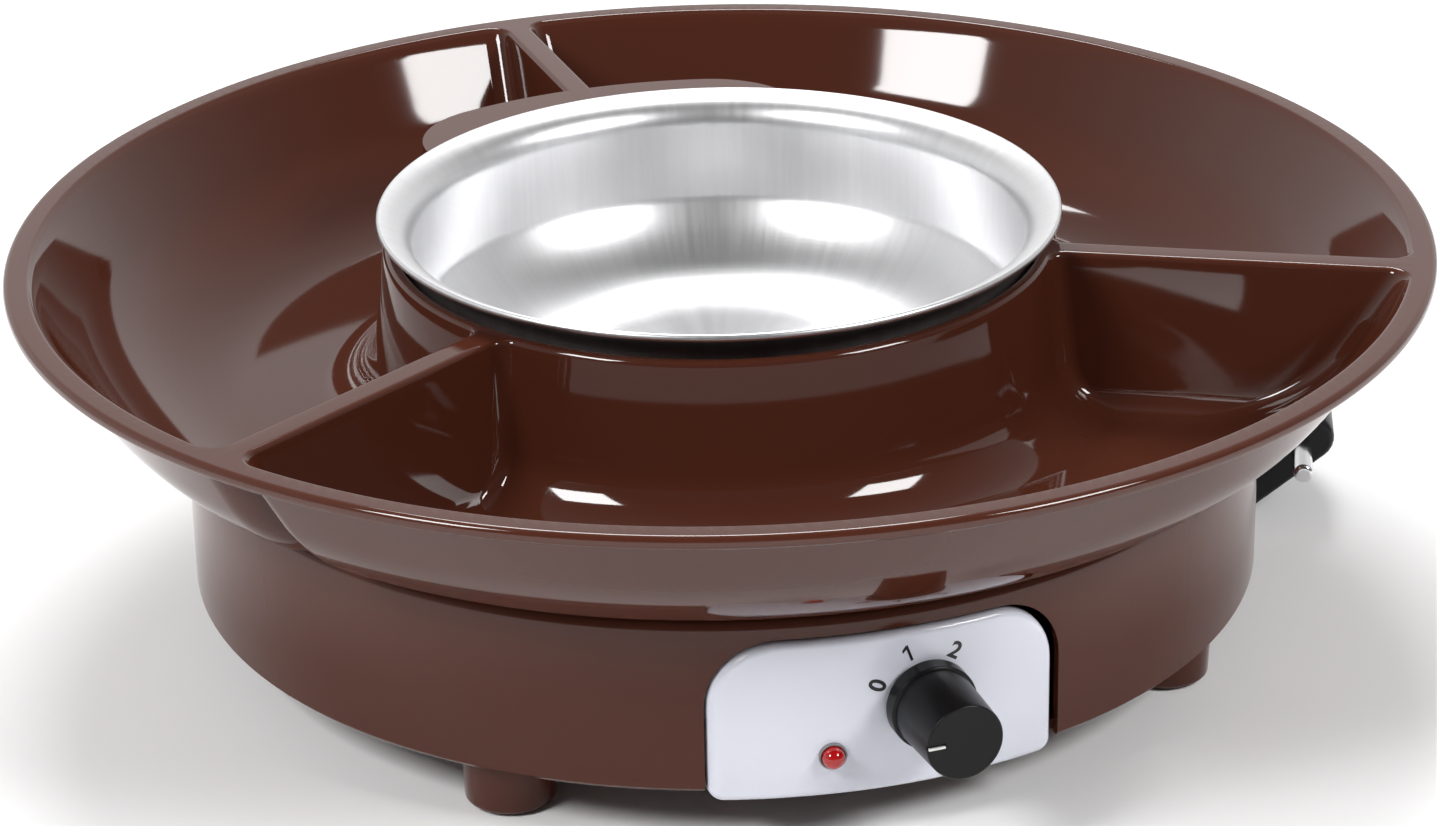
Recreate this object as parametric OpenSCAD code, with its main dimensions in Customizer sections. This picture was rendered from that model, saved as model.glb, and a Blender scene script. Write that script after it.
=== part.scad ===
// Electric fondue pot: a heated base with a control panel, a lift-off
// serving tray with three tubs, and a lift-out aluminium melting pot.
// Millimetres, Z up, origin on the floor under the middle of the base,
// control panel towards -Y, mains lead out of the back towards +Y.

/* [Tray] */
// Diameter of the serving tray over its rim
tray_d = 330; // [310:5:360]
// Width of the flat rim round the tubs
rim_w = 6.2; // [5:0.2:8]
// Thickness of the rim and of the tops of the ribs
rim_t = 3.2; // [2.6:0.2:4]
// Depth of a tub below the rim
tub_depth = 37.3; // [34:0.3:42]
// Wall and floor of the tray moulding
tray_wall = 2.4; // [2:0.1:3]
// Width of a rib between two tubs, at its top
rib_w = 7; // [6.5:0.5:9]
// Radius of the hub round the pot, at its top
hub_r = 78; // [77.6:0.2:80]
// Radius of the hole that the pot hangs in
hub_hole_r = 75; // [74.6:0.2:76]
// Lean of a tub's outer wall from upright, in degrees
bowl_lean = 31; // [26:1:34]
// Radius between a tub's outer wall and its floor
bowl_round = 42; // [34:1:46]
// Radius of a tub's outer corners
outer_corner = 5; // [4:0.5:8]
// Radius of a tub's corners at the hub
inner_corner = 4; // [3:0.5:6]
// Radius of the widened landing of the hub at the back rib
landing_r = 104.5; // [100:0.5:108]
// Half of the angle between the middles of the landing's round corners, in degrees
landing_half = 17.5; // [14:0.5:22]

/* [Pot] */
// Diameter of the pot over its flared rim
pot_d = 158.8; // [157:0.2:162]
// Height of the pot
pot_h = 46.4; // [44:0.2:50]
// Thickness of the aluminium
pot_wall = 1.3; // [1:0.1:2]
// Width of the pot's flared rim, to the inside of its upright wall
pot_rim_w = 8.2; // [8:0.2:10]
// Inside radius of the pot's bowl
bowl_r = 35; // [32:0.5:38]

/* [Base] */
// Diameter of the base at its top
base_d = 252; // [246:2:260]
// Height of the base's side wall
wall_h = 40.4; // [40:0.2:46]
// Narrowing of the base from top to bottom, on the radius
base_draft = 0; // [0:0.1:1.5]
// Wall of the base moulding
base_wall = 2.5; // [2:0.1:3]
// Height of the feet below the base
foot_h = 14; // [12:1:18]
// Radius of a foot at its top
foot_r = 10.7; // [9.5:0.1:12]
// Distance of the feet from the middle
foot_ring_r = 111.5; // [106:0.5:111.5]
// Radius of the round opening for the heater
well_r = 50; // [48:0.5:52]

/* [Control panel] */
// Left edge of the panel
panel_x0 = -46.2; // [-52:0.2:-42]
// Right edge of the panel
panel_x1 = 30.6; // [26:0.2:34]
// Lower edge of the panel above the floor
panel_z0 = 12; // [11.6:0.2:13.6]
// Upper edge of the panel above the floor
panel_z1 = 49.2; // [48.6:0.2:50]
// How far the panel stands out of the base
panel_proud = 1; // [0.8:0.1:2.4]
// Thickness of the panel
panel_t = 2.5; // [2:0.1:3]
// Radius of the panel's upper corners
panel_corner = 15; // [10:0.5:17]
// Height of the knob's axis above the floor
knob_z = 32.2; // [31:0.1:34]
// Radius of the knob's skirt
knob_r = 9.8; // [9:0.1:11]
// Length of the knob
knob_len = 20.5; // [18:0.5:26]
// Diameter of the indicator lens
lens_d = 5; // [4:0.1:6]

/* [Mains lead] */
// Diameter of the mains lead
lead_d = 6; // [5:0.1:6]
// Width of the flat plug
plug_w = 35.3; // [33:0.1:37]
// Thickness of the plug
plug_t = 13.7; // [12.6:0.1:15]
// Length of the plug's body
plug_len = 36; // [32:0.5:38]
// Diameter of a plug pin
pin_d = 4.8; // [4:0.1:4.8]
// Length of a plug pin
pin_len = 19; // [18:0.5:20]

/* [Hidden] */
$fn = 64;
// Clearance under what rests on something
seat_gap = 0.3;
// Clearance round what fits in a hole
fit_gap = 0.3;
// Radial clearance of a turning shaft
run_gap = 0.06;
// Overrun of every cut
over = 1;
// Segments of a small rounding
arc_n = 6;

// Heights of the base
base_top = foot_h + wall_h;
deck_drop = 1.4;
deck_z = base_top - deck_drop;
deck_under = deck_z - base_wall;
base_r = base_d / 2;
base_low_r = base_r - base_draft;
base_edge = 2.5;
lip_w = 0.2;
inner_low_r = base_low_r - base_wall;
inner_top_r = base_r - base_wall;

// Bottom cover, feet and their screws
cover_t = 2.5;
cover_z = foot_h + fit_gap;
cover_r = inner_low_r - fit_gap;
cover_top = cover_z + cover_t;
cover_rib_h = 3.4;
cover_rib_w = 1.8;
foot_n = 4;
foot_az = 45;
foot_lift = 0.6;
foot_draft = 0.5;
foot_round = 1.4;
pad_r = 7.2;
pad_t = 1.9;
pad_recess = 1.6;
screw_recess = 4.2;
screw_r = 1.9;
screw_hole_r = 2.2;
screw_head_r = 3.8;
screw_head_t = 2.4;
screw_len = 20;
counterbore_r = 4.6;
head_seat_z = foot_lift + pad_recess + screw_head_t + screw_recess;
boss_r = 5;
vent_n = 28;
vent_w = 3;
vent_len = 16;
vent_ring_r = 78;

// Heater stack under the pot
plate_t = 4;
plate_rise = 0.2;
plate_top = deck_z + plate_rise;
plate_z = plate_top - plate_t;
ring_fit = 0.3;
ring_side = 3.4;
plate_r = well_r - 2 * ring_fit - ring_side;
ring_out_r = well_r - ring_fit;
ring_flange_w = 4.5;
ring_ledge_w = 4;
ring_flange_t = 3.5;
ring_z = deck_under - seat_gap - ring_flange_t;
ring_top = deck_z - ring_fit;
element_inset = 14;
element_r = plate_r - element_inset;
element_tube_r = 3.2;
element_z = plate_z - seat_gap - element_tube_r;
element_sweep = 316;
element_pin_r = 1.6;
element_pin_len = 9;
element_pin_az = 4;
shield_t = 0.8;
shield_r = well_r + 2;
shield_top = ring_z - seat_gap;
shield_h = 10;
shield_z = shield_top - shield_h;
shield_post_inset = 8;
shield_post_ring = well_r - shield_post_inset;
shield_post_n = 3;
shield_post_r = 4;
shield_post_az = 30;
shield_hole_r = 22;
shield_flute = 3;
thermostat_r = 8;
thermostat_h = 6.5;
thermostat_ear = 13.6;
ear_t = 1.2;
blade_w = 5;
blade_t = 0.8;
blade_len = 6;
thermostat_z = plate_z - seat_gap - thermostat_h;
fuse_r = 2;
fuse_len = 12;
fuse_lead_r = 0.5;
fuse_lead_len = 9;
fuse_y = 21;
fuse_z = plate_z - seat_gap - fuse_r;
clip_t = 0.6;
clip_w = 5;
clip_foot = 5;
small_screw_r = 1.4;
small_head_r = 2.6;
small_head_t = 1.5;
small_screw_len = 5;

// Tray heights and profiles
tray_r = tray_d / 2;
tray_z = deck_z + seat_gap;
floor_z = tray_z + tray_wall;
rim_z = floor_z + tub_depth;
cavity_r = tray_r - rim_w;
hub_lean = 7;
hub_round = 14;
end_lean = 3;
end_round = 5;
landing_round = 9;
landing_corner = 24;
rim_edge = 1.4;
tub_edge = 1.2;
// Widening and height of a tub's upper edge, as shares of its rounding
tub_edge_shares = [[0.35, 0.7], [1, 1], [1, 1.6]];
collar_drop = 8;
tub_n = 3;
tub_half = 180 / tub_n;
first_tub_az = -90;
landing_az = 90;
corner_n = 4;
wall_n = 10;
landing_n = 6;
tray_fn = 96;
// Heights of a tub's sections, as shares of its depth up to its edge rounding
tub_height_shares = [0, 0.012, 0.045, 0.11, 0.22, 0.37, 0.56, 1];
shell_height_shares = [0, 0.03, 0.11, 0.26, 0.52, 1];
// Most of a tub's width that one corner may take
corner_room_share = 0.25;

// Pot profile
pot_z = plate_top + seat_gap;
pot_top = pot_z + pot_h;
pot_r = pot_d / 2;
pot_bore_r = pot_r - pot_rim_w;
pot_bend_h = 19.5;
pot_flare_h = 8;
pot_flare_end = 118;
pot_flare_w = pot_r - pot_bore_r - pot_wall;
bead_r = 0.9;
bowl_n = 12;

// Panel and controls
panel_r = base_r + panel_proud;
panel_in_r = panel_r - panel_t;
panel_gap = 0.7;
panel_right_gap = 1.6;
panel_skirt = 2;
panel_low_corner = 3;
panel_back_gap = 0.4;
panel_back_r = inner_top_r + panel_back_gap;
hook_z0 = 24;
hook_z1 = 36;
hook_w = 5;
hook_t = 2;
bushing_r = 3.5;
bushing_out = 3.9;
bushing_fit = 0.1;
panel_hole_r = bushing_r + bushing_fit;
switch_w = 21;
switch_len = 13;
switch_face_gap = 0.8;
switch_y = -(panel_in_r - switch_face_gap);
blade_gap = 1.5;
shaft_r = 3;
shaft_flat = 0.8;
washer_r = 6;
washer_t = 0.6;
nut_flats = 10;
nut_t = 2;
knob_gap = 0.6;
knob_back = -(panel_r + knob_gap);
knob_skirt = 4.2;
knob_step = 0.7;
knob_taper = 1.2;
knob_grip_r = knob_r - knob_step;
knob_end_r = knob_r - knob_taper;
knob_round = 0.7;
knob_recess_r = 7.6;
knob_recess = 3.9;
knob_end_wall = 3;
groove_w = 1.2;
groove_len = 4;
groove_depth = 0.9;
shaft_tip = knob_back - knob_len + knob_end_wall + fit_gap;
lens_az = -99.5;
lens_z = 21.9;
lens_r = lens_d / 2;
lens_out = 1.2;
bezel_w = 0.55;
bezel_out = 0.7;
socket_wall = 1.2;
socket_len = 9;
lens_tail = 5;

// Inside wiring
lead_z = 24;
block_y = 74;
block_l = 26;
block_w = 15;
block_h = 12;
block_way_n = 3;
block_way_r = 1.4;
block_screw_r = 1.7;
block_foot = 1.6;
block_z = cover_top + block_foot + seat_gap;
clamp_y = 100;
clamp_post_x = 9;
clamp_bar_l = 26;
clamp_bar_w = 7;
clamp_bar_t = 3;
wire_d = 2.2;
wire_sides = 8;
// Share of upright from which a tube counts as steep
steep_share = 0.9;

// Strain relief at the back wall
relief_exit = [0, 156, 24];
relief_flange_t = 2.4;
relief_flange_r = 8;
relief_neck_r = 5.2;
relief_in_t = 2.6;
relief_y0 = inner_low_r - relief_in_t - fit_gap;
relief_rib_n = 5;
relief_groove = 0.8;
relief_tip_wall = 0.9;
relief_tip_r = lead_d / 2 + relief_tip_wall;

// Plug, lying on one edge of its face, and the height of its middle
plug_roll = 40;
plug_boot = 20;
plug_boot_tip_r = 4.2;
plug_corner = 6;
plug_nose = 4;
plug_waist = 26;
plug_neck_share = 0.35;
plug_z = (plug_w / 2 - plug_corner) * sin(plug_roll) + (plug_t / 2 - plug_corner) * cos(plug_roll)
    + plug_corner + seat_gap / 2;

// Route of the lead from the strain relief to the coil
lead_route = [relief_exit, [0, 164, 24], [0, 176, 19.5], [1, 188, 12], [6, 200, 5.5],
    [17, 208, 3], [32, 211, 3], [45, 211, 3], [58, 211, 3]];
// Route from the coil to the plug
tail_route = [[70, 211, 9.5], [80, 211, 9.3], [92, 209, 7.5], [105, 205, 5], [118, 198, 3.4],
    [131, 188, 3], [143, 176, 3], [154, 162, 3], [163, 147, 3], [170, 131, 3], [175, 114, 3],
    [177.5, 100, 3.2], [178, 85, 5.4], [175.6, 69.4, 9.2], [170.8, 56.4, 12.6],
    [165.6, 45.1, plug_z], [162.4, 38.2, plug_z]];
coil_centre = [64, 170];
coil_out_r = 41;
coil_pitch = 6.5;
coil_turns = 5;
coil_rise_turns = 0.5;
coil_rings = 24;
coil_sides = 6;
lead_sides = 10;
pin_gap = 19;
pin_round = 1;

// Points of a round stretch of an outline
function arc(c, r, a0, a1, n = arc_n) =
    [for (i = [0 : n]) let (a = a0 + (a1 - a0) * i / n) [c.x + r * cos(a), c.y + r * sin(a)]];

// How far a leaning wall with a rounded foot has come in at height t
function wall_in(t, h, lean, r) =
    let (t1 = r * (1 - sin(lean)))
    t >= t1 ? (h - t) * tan(lean)
            : (h - t1) * tan(lean) + r * cos(lean) - sqrt(max(0, r * r - (r - t) * (r - t)));

// Half of a tub's outline at one level: along an arc of radius r from one end wall to
// the other, with corners of radius c; sign is 1 on the outer wall and -1 on the hub
function tub_chain(r, h, c, sign) =
    let (centre_r = r - sign * c,
         mid = tub_half - asin((h + c) / centre_r),
         a0 = tub_half + 90,
         a1 = sign > 0 ? mid : mid + 180,
         right = [for (i = [0 : corner_n])
             let (a = a0 + (a1 - a0) * i / corner_n)
             [centre_r * cos(mid) + c * cos(a), centre_r * sin(mid) + c * sin(a)]],
         arc_part = [for (i = [1 : wall_n - 1])
             let (a = mid - 2 * mid * i / wall_n) [r * cos(a), r * sin(a)]],
         left = [for (i = [corner_n : -1 : 0]) [right[i].x, -right[i].y]])
    concat(right, arc_part, left);
function tub_section(r_out, r_in, h, c_out, c_in, z) =
    let (room = corner_room_share * (r_out - r_in),
         a = tub_chain(r_out, h, min(c_out, room), 1),
         b = tub_chain(r_in, h, min(c_in, room), -1))
    [for (p = concat(a, [for (i = [len(b) - 1 : -1 : 0]) b[i]])) [p.x, p.y, z]];

// Closed skin over a stack of tub sections with as many points each
module tub_skin(sections) {
    n = len(sections[0]);
    m = len(sections);
    half = n / 2;
    points = [for (s = sections) each s];
    sides = [for (k = [0 : m - 2]) for (i = [0 : n - 1])
        let (j = (i + 1) % n, a = k * n + i, b = k * n + j, c = b + n, d = a + n)
        each [[a, b, c], [a, c, d]]];
    low = [for (i = [0 : half - 2])
        let (a = i, b = i + 1, c = n - 2 - i, d = n - 1 - i) each [[b, a, d], [b, d, c]]];
    top0 = (m - 1) * n;
    high = [for (f = low) [top0 + f[0], top0 + f[2], top0 + f[1]]];
    polyhedron(points = points, faces = concat(sides, low, high), convexity = 6);
}

// The hollow of one tub, its middle along +X
module tub_cavity() {
    h = tub_depth;
    straight = [for (s = tub_height_shares) let (t = s * (h - tub_edge))
        tub_section(cavity_r - wall_in(t, h, bowl_lean, bowl_round),
            hub_r + wall_in(t, h, hub_lean, hub_round),
            rib_w / 2 + wall_in(t, h, end_lean, end_round),
            outer_corner, inner_corner, floor_z + t)];
    edge = [for (e = tub_edge_shares) let (w = tub_edge * e[0])
        tub_section(cavity_r + w, hub_r - w, rib_w / 2 - w, outer_corner + w, inner_corner,
            floor_z + h - tub_edge + tub_edge * e[1])];
    tub_skin(concat(straight, edge));
}

// The outside of one tub, with the wall thickness all round
module tub_shell() {
    w = tray_wall;
    h = tub_depth + w - rim_t / 2;
    full = tub_depth + w;
    sections = [for (s = shell_height_shares) let (t = s * h)
        tub_section(cavity_r + w - wall_in(t, full, bowl_lean, bowl_round + w),
            hub_r - w + wall_in(t, full, hub_lean, hub_round + w),
            rib_w / 2 - w + wall_in(t, full, end_lean, end_round + w),
            outer_corner + w, inner_corner + w, tray_z + t)];
    tub_skin(sections);
}

// Outline of the hub's landing at one level, its middle along +X, grown outwards
function landing_section(grow, z) =
    let (mid_r = landing_r - landing_corner,
         corner_r = landing_corner + grow,
         in_r = hub_r - tray_wall / 2,
         corner = [for (i = [0 : landing_n]) let (a = 90 - 90 * i / landing_n)
             let (x = mid_r + corner_r * cos(a), y = corner_r * sin(a))
             [x * cos(landing_half) - y * sin(landing_half), x * sin(landing_half) + y * cos(landing_half)]],
         outer = [for (i = [1 : landing_n - 1]) let (a = landing_half * (1 - 2 * i / landing_n))
             [(landing_r + grow) * cos(a), (landing_r + grow) * sin(a)]],
         a = concat(corner, outer, [for (i = [landing_n : -1 : 0]) [corner[i].x, -corner[i].y]]),
         end_az = landing_half + asin(corner_r / in_r),
         b = [for (i = [0 : len(a) - 1]) let (az = end_az * (1 - 2 * i / (len(a) - 1)))
             [in_r * cos(az), in_r * sin(az)]])
    [for (p = concat(a, [for (i = [len(b) - 1 : -1 : 0]) b[i]])) [p.x, p.y, z]];

// The landing's block, set inwards by a wall, from z_low to z_top
module landing(inset, z_top, z_low) {
    h = rim_z - floor_z;
    steps = [for (i = [0 : landing_n - 1]) h * (1 - cos(90 * i / landing_n))];
    rotate([0, 0, landing_az]) tub_skin(concat(
        [landing_section(wall_in(0, h, hub_lean, landing_round) - inset, z_low)],
        [for (t = steps) landing_section(wall_in(t, h, hub_lean, landing_round) - inset, floor_z + t)],
        [landing_section(-inset, z_top)]));
}

// Serving tray: rim, hub and ribs in one skin over three tubs
module serving_tray() {
    rim_low = rim_z - rim_t;
    collar_low = rim_z - collar_drop;
    color("#5a3a32")
    difference() {
        union() {
            rotate_extrude($fn = tray_fn)
                polygon(concat([[hub_hole_r, collar_low], [hub_hole_r + tray_wall, collar_low],
                    [hub_hole_r + tray_wall, rim_low]],
                    arc([tray_r - rim_edge, rim_low + rim_edge], rim_edge, -90, 0, arc_n / 2),
                    arc([tray_r - rim_edge, rim_z - rim_edge], rim_edge, 0, 90, arc_n / 2),
                    [[hub_hole_r, rim_z]]));
            for (k = [0 : tub_n - 1])
                rotate([0, 0, first_tub_az + k * 360 / tub_n]) tub_shell();
        }
        difference() {
            for (k = [0 : tub_n - 1])
                rotate([0, 0, first_tub_az + k * 360 / tub_n]) tub_cavity();
            landing(0, rim_z + over, floor_z - over);
        }
        landing(tray_wall, rim_z - tray_wall, tray_z - over);
    }
}

// Melting pot: spun bowl with a flared, beaded rim
module melting_pot() {
    bend_z = pot_z + pot_wall + pot_bend_h;
    arc_z = pot_z + pot_wall + bowl_r;
    bend_a = -asin((bowl_r - pot_bend_h) / bowl_r);
    flat_r = pot_bore_r - bowl_r * cos(bend_a);
    flare_z = pot_top - pot_flare_h;
    inner = concat([[0, pot_z + pot_wall]],
        arc([flat_r, arc_z], bowl_r, -90, bend_a, bowl_n),
        arc([pot_bore_r + pot_flare_w, flare_z], pot_flare_w, 180, pot_flare_end));
    outer = concat([[0, pot_z]],
        arc([flat_r, arc_z], bowl_r + pot_wall, -90, bend_a, bowl_n),
        arc([pot_bore_r + pot_flare_w, flare_z], pot_flare_w - pot_wall, 180, pot_flare_end));
    color("#d4d5d8")
    rotate_extrude($fn = 128) {
        polygon(concat(inner, [[pot_r - bead_r, pot_top]],
            arc([pot_r - bead_r, pot_top - bead_r], bead_r, 90, -90),
            [for (i = [len(outer) - 1 : -1 : 0]) outer[i]]));
    }
}

// Outline of the panel, seen from the front: large upper and small lower corners
module panel_outline(grow, low, right = 0) {
    x0 = panel_x0 - grow;
    x1 = panel_x1 + grow + right;
    z0 = panel_z0 - low;
    z1 = panel_z1 + grow;
    top_r = panel_corner + grow;
    low_r = panel_low_corner + grow;
    translate([x0, z0 + low_r]) square([x1 - x0, z1 - top_r - z0 - low_r]);
    translate([x0 + top_r, z0 + low_r]) square([x1 - x0 - 2 * top_r, z1 - z0 - low_r]);
    translate([x0 + low_r, z0]) square([x1 - x0 - 2 * low_r, low_r + over]);
    for (x = [x0 + top_r, x1 - top_r]) translate([x, z1 - top_r]) circle(top_r);
    for (x = [x0 + low_r, x1 - low_r]) translate([x, z0 + low_r]) circle(low_r);
}
// The same outline pushed through the front of the base
module panel_prism(grow, low, right = 0) {
    depth = panel_r + over;
    rotate([90, 0, 0])
        linear_extrude(depth) panel_outline(grow, low, right);
}
module ring(r_in, r_out, z0, z1) {
    translate([0, 0, z0]) difference() {
        cylinder(r = r_out, h = z1 - z0, $fn = 128);
        translate([0, 0, -over]) cylinder(r = r_in, h = z1 - z0 + 2 * over, $fn = 128);
    }
}

// Places around the base
module at_feet() {
    for (k = [0 : foot_n - 1])
        rotate([0, 0, foot_az + k * 360 / foot_n]) translate([foot_ring_r, 0, 0]) children();
}
module at_posts() {
    for (k = [0 : shield_post_n - 1])
        rotate([0, 0, shield_post_az + k * 360 / shield_post_n])
            translate([shield_post_ring, 0, 0]) children();
}

// Base shell: side wall, deck with a low lip, heater well
module base_shell() {
    outside = concat([[base_low_r, foot_h]],
        arc([base_r - base_edge, base_top - base_edge], base_edge, 0, 90));
    color("#5a3a32")
    difference() {
        union() {
            rotate_extrude($fn = 128)
                polygon(concat(outside,
                    [[base_r - base_edge - lip_w, base_top], [base_r - base_edge - lip_w - deck_drop, deck_z],
                     [well_r, deck_z],
                     [well_r, deck_under], [inner_top_r, deck_under], [inner_low_r, foot_h]]));
            at_feet() translate([0, 0, cover_top + seat_gap])
                cylinder(r = boss_r, h = deck_under - cover_top - seat_gap + over);
        }
        at_feet() translate([0, 0, cover_top]) cylinder(r = screw_r + run_gap, h = screw_len + fit_gap);
        intersection() {
            panel_prism(panel_gap, over, panel_right_gap);
            ring(inner_low_r - boss_r, panel_r + over, 0, deck_under + over);
        }
        translate([0, base_r + over, lead_z]) rotate([90, 0, 0])
            cylinder(r = relief_neck_r + fit_gap, h = base_wall + 2 * over + base_draft);
    }
}

// Bottom cover with vent slots, a stiffening rib and the posts of the heat shield
module bottom_cover() {
    color("#4c312b")
    difference() {
        union() {
            translate([0, 0, cover_z]) cylinder(r = cover_r, h = cover_t, $fn = 128);
            ring(vent_ring_r + vent_len / 2 + cover_rib_w, vent_ring_r + vent_len / 2 + 2 * cover_rib_w,
                cover_z + cover_t / 2, cover_top + cover_rib_h);
            at_posts() translate([0, 0, cover_z + cover_t / 2])
                cylinder(r = shield_post_r, h = shield_z - seat_gap - cover_z - cover_t / 2);
            translate([-block_l / 2, block_y - block_w / 2, cover_z + cover_t / 2])
                cube([block_l, block_w, cover_t / 2 + block_foot]);
            for (side = [-1, 1]) translate([side * clamp_post_x, clamp_y, cover_z + cover_t / 2])
                cylinder(r = shield_post_r, h = lead_z - lead_d / 2 - cover_z - cover_t / 2);
        }
        for (k = [0 : vent_n - 1]) rotate([0, 0, k * 360 / vent_n])
            translate([vent_ring_r - vent_len / 2, -vent_w / 2, cover_z - over])
                cube([vent_len, vent_w, cover_t + 2 * over]);
        at_feet() translate([0, 0, cover_z - over]) cylinder(r = screw_hole_r, h = cover_t + 2 * over);
        at_posts() translate([0, 0, shield_z - seat_gap - small_screw_len])
            cylinder(r = small_screw_r + run_gap, h = small_screw_len + over);
        for (side = [-1, 1]) translate([side * clamp_post_x, clamp_y, lead_z - lead_d / 2 - small_screw_len])
            cylinder(r = small_screw_r + run_gap, h = small_screw_len + over);
    }
}

// Four round feet under the cover
module feet() {
    top = cover_z - seat_gap;
    color("#5a3a32")
    at_feet() difference() {
        rotate_extrude()
            polygon(concat([[0, foot_lift]],
                arc([foot_r - foot_draft - foot_round, foot_lift + foot_round], foot_round, -90, 0),
                [[foot_r, top], [0, top]]));
        translate([0, 0, foot_lift - over]) cylinder(r = pad_r + fit_gap, h = pad_recess + over);
        cylinder(r = counterbore_r, h = head_seat_z);
        cylinder(r = screw_hole_r, h = top + over);
    }
}
module foot_pads() {
    color("#1d1c1c")
    at_feet() cylinder(r = pad_r, h = pad_t);
}
module pan_screw(r, head_r, head_t, length) {
    difference() {
        union() {
            cylinder(r = r, h = length);
            translate([0, 0, -head_t]) cylinder(r = head_r, h = head_t);
        }
        for (a = [0, 90]) rotate([0, 0, a])
            translate([-head_r / 2, -head_t / 6, -head_t - over]) cube([head_r, head_t / 3, over + head_t / 2]);
    }
}
module cover_screws() {
    color("#b9bcc0")
    at_feet() translate([0, 0, head_seat_z - run_gap])
        pan_screw(screw_r, screw_head_r, screw_head_t, screw_len);
}

// Control panel: curved plate with a skirt and two snap hooks behind the wall
module control_panel() {
    color("#f2f3f6")
    difference() {
        union() {
            intersection() {
                panel_prism(0, 0);
                ring(panel_back_r, panel_r, 0, base_top);
            }
            for (side = [-1, 1]) hook(side);
        }
        intersection() {
            panel_prism(-panel_skirt, -panel_skirt);
            ring(inner_low_r - boss_r, panel_in_r, 0, base_top);
        }
        translate([0, -inner_low_r, knob_z]) rotate([90, 0, 0])
            cylinder(r = panel_hole_r, h = base_wall + panel_proud + over);
        at_lens() translate([0, 0, -panel_t - over]) cylinder(r = lens_r + run_gap, h = panel_t + 2 * over);
    }
}
// A hook that reaches through the opening and behind the wall
module hook(side) {
    x_edge = side > 0 ? panel_x1 : panel_x0;
    x_in = x_edge - side * (panel_skirt - over / 2);
    intersection() {
        ring(inner_low_r - fit_gap - hook_t, panel_in_r + panel_t / 2, hook_z0, hook_z1);
        translate([min(x_in, x_edge), -panel_r, 0]) cube([abs(x_edge - x_in), panel_r, base_top]);
    }
    intersection() {
        ring(inner_low_r - fit_gap - hook_t, inner_low_r - fit_gap, hook_z0, hook_z1);
        translate([min(x_in, x_edge + side * hook_w), -panel_r, 0])
            cube([abs(x_edge + side * hook_w - x_in), panel_r, base_top]);
    }
}

// Knob with a skirt, a tapered grip and a pointer groove on its end
module control_knob() {
    color("#17171a")
    translate([0, knob_back, knob_z]) rotate([90, 0, 0]) difference() {
        rotate_extrude()
            polygon(concat([[0, 0], [knob_r - knob_round, 0]],
                arc([knob_r - knob_round, knob_skirt - knob_round], knob_round, 0, 90, arc_n / 2),
                [[knob_grip_r, knob_skirt]],
                arc([knob_end_r - knob_round, knob_len - knob_round], knob_round, 0, 90, arc_n / 2),
                [[0, knob_len]]));
        translate([0, 0, -over]) cylinder(r = knob_recess_r, h = knob_recess + over);
        translate([0, 0, -over]) cylinder(r = shaft_r + run_gap, h = knob_len - knob_end_wall + over);
        translate([-knob_r, -groove_w / 2, knob_len - groove_depth])
            cube([knob_r - knob_end_r + groove_len, groove_w, groove_depth + over]);
    }
}
module switch_shaft() {
    start = switch_y + switch_len / 2;
    length = start - shaft_tip;
    color("#b9bcc0")
    translate([0, start, knob_z]) rotate([90, 0, 0]) difference() {
        cylinder(r = shaft_r, h = length);
        translate([-shaft_r, shaft_r - shaft_flat, length - knob_len / 2]) cube([2 * shaft_r, shaft_r, knob_len]);
    }
}

// Rotary switch behind the panel, its bushing through the panel's hole
module rotary_switch() {
    color("#2b2b2e")
    translate([0, switch_y, knob_z]) rotate([90, 0, 0]) difference() {
        union() {
            translate([-switch_w / 2, -switch_w / 2, -switch_len]) cube([switch_w, switch_w, switch_len]);
            cylinder(r = bushing_r, h = switch_face_gap + panel_t + bushing_out);
            for (k = [-1 : 1]) translate([k * (blade_w + blade_gap) - blade_w / 2, -blade_t / 2, -switch_len - blade_len])
                cube([blade_w, blade_t, blade_len + over]);
        }
        translate([0, 0, -switch_len / 2 - fit_gap])
            cylinder(r = shaft_r + run_gap, h = switch_len + panel_t + bushing_out);
    }
}
module switch_washer() {
    color("#b9bcc0")
    translate([0, -panel_r - run_gap, knob_z]) rotate([90, 0, 0]) difference() {
        cylinder(r = washer_r, h = washer_t);
        translate([0, 0, -over]) cylinder(r = bushing_r + run_gap, h = washer_t + 2 * over);
    }
}
module switch_nut() {
    color("#b9bcc0")
    translate([0, -panel_r - 2 * run_gap - washer_t, knob_z]) rotate([90, 0, 0]) difference() {
        cylinder(r = nut_flats / 2 / cos(30), h = nut_t, $fn = 6);
        translate([0, 0, -over]) cylinder(r = bushing_r + run_gap, h = nut_t + 2 * over);
    }
}

// Indicator: local Z points out of the panel, zero on its front
module at_lens() {
    rotate([0, 0, lens_az]) translate([panel_r, 0, lens_z]) rotate([0, 90, 0]) children();
}
module indicator_lens() {
    color("#d01818")
    at_lens() rotate_extrude() {
        polygon(concat([[0, -lens_tail], [lens_r, -lens_tail], [lens_r, lens_out]],
            arc([0, lens_out], lens_r, 0, 90, 2 * arc_n)));
    }
}
module indicator_bezel() {
    color("#8d9094")
    at_lens() translate([0, 0, run_gap]) difference() {
        cylinder(r = lens_r + run_gap + bezel_w, h = bezel_out);
        translate([0, 0, -over]) cylinder(r = lens_r + run_gap, h = bezel_out + 2 * over);
    }
}
module indicator_socket() {
    socket_r = lens_r + run_gap + socket_wall;
    color("#2b2b2e")
    at_lens() translate([0, 0, -panel_t - seat_gap - socket_len]) {
        difference() {
            cylinder(r = socket_r, h = socket_len);
            translate([0, 0, socket_len - lens_tail + panel_t - fit_gap + seat_gap])
                cylinder(r = lens_r + run_gap, h = socket_len);
        }
        for (side = [-1, 1]) translate([0, side * lens_r / 2, -blade_len])
            cylinder(r = fuse_lead_r, h = blade_len + over);
    }
}

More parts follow.
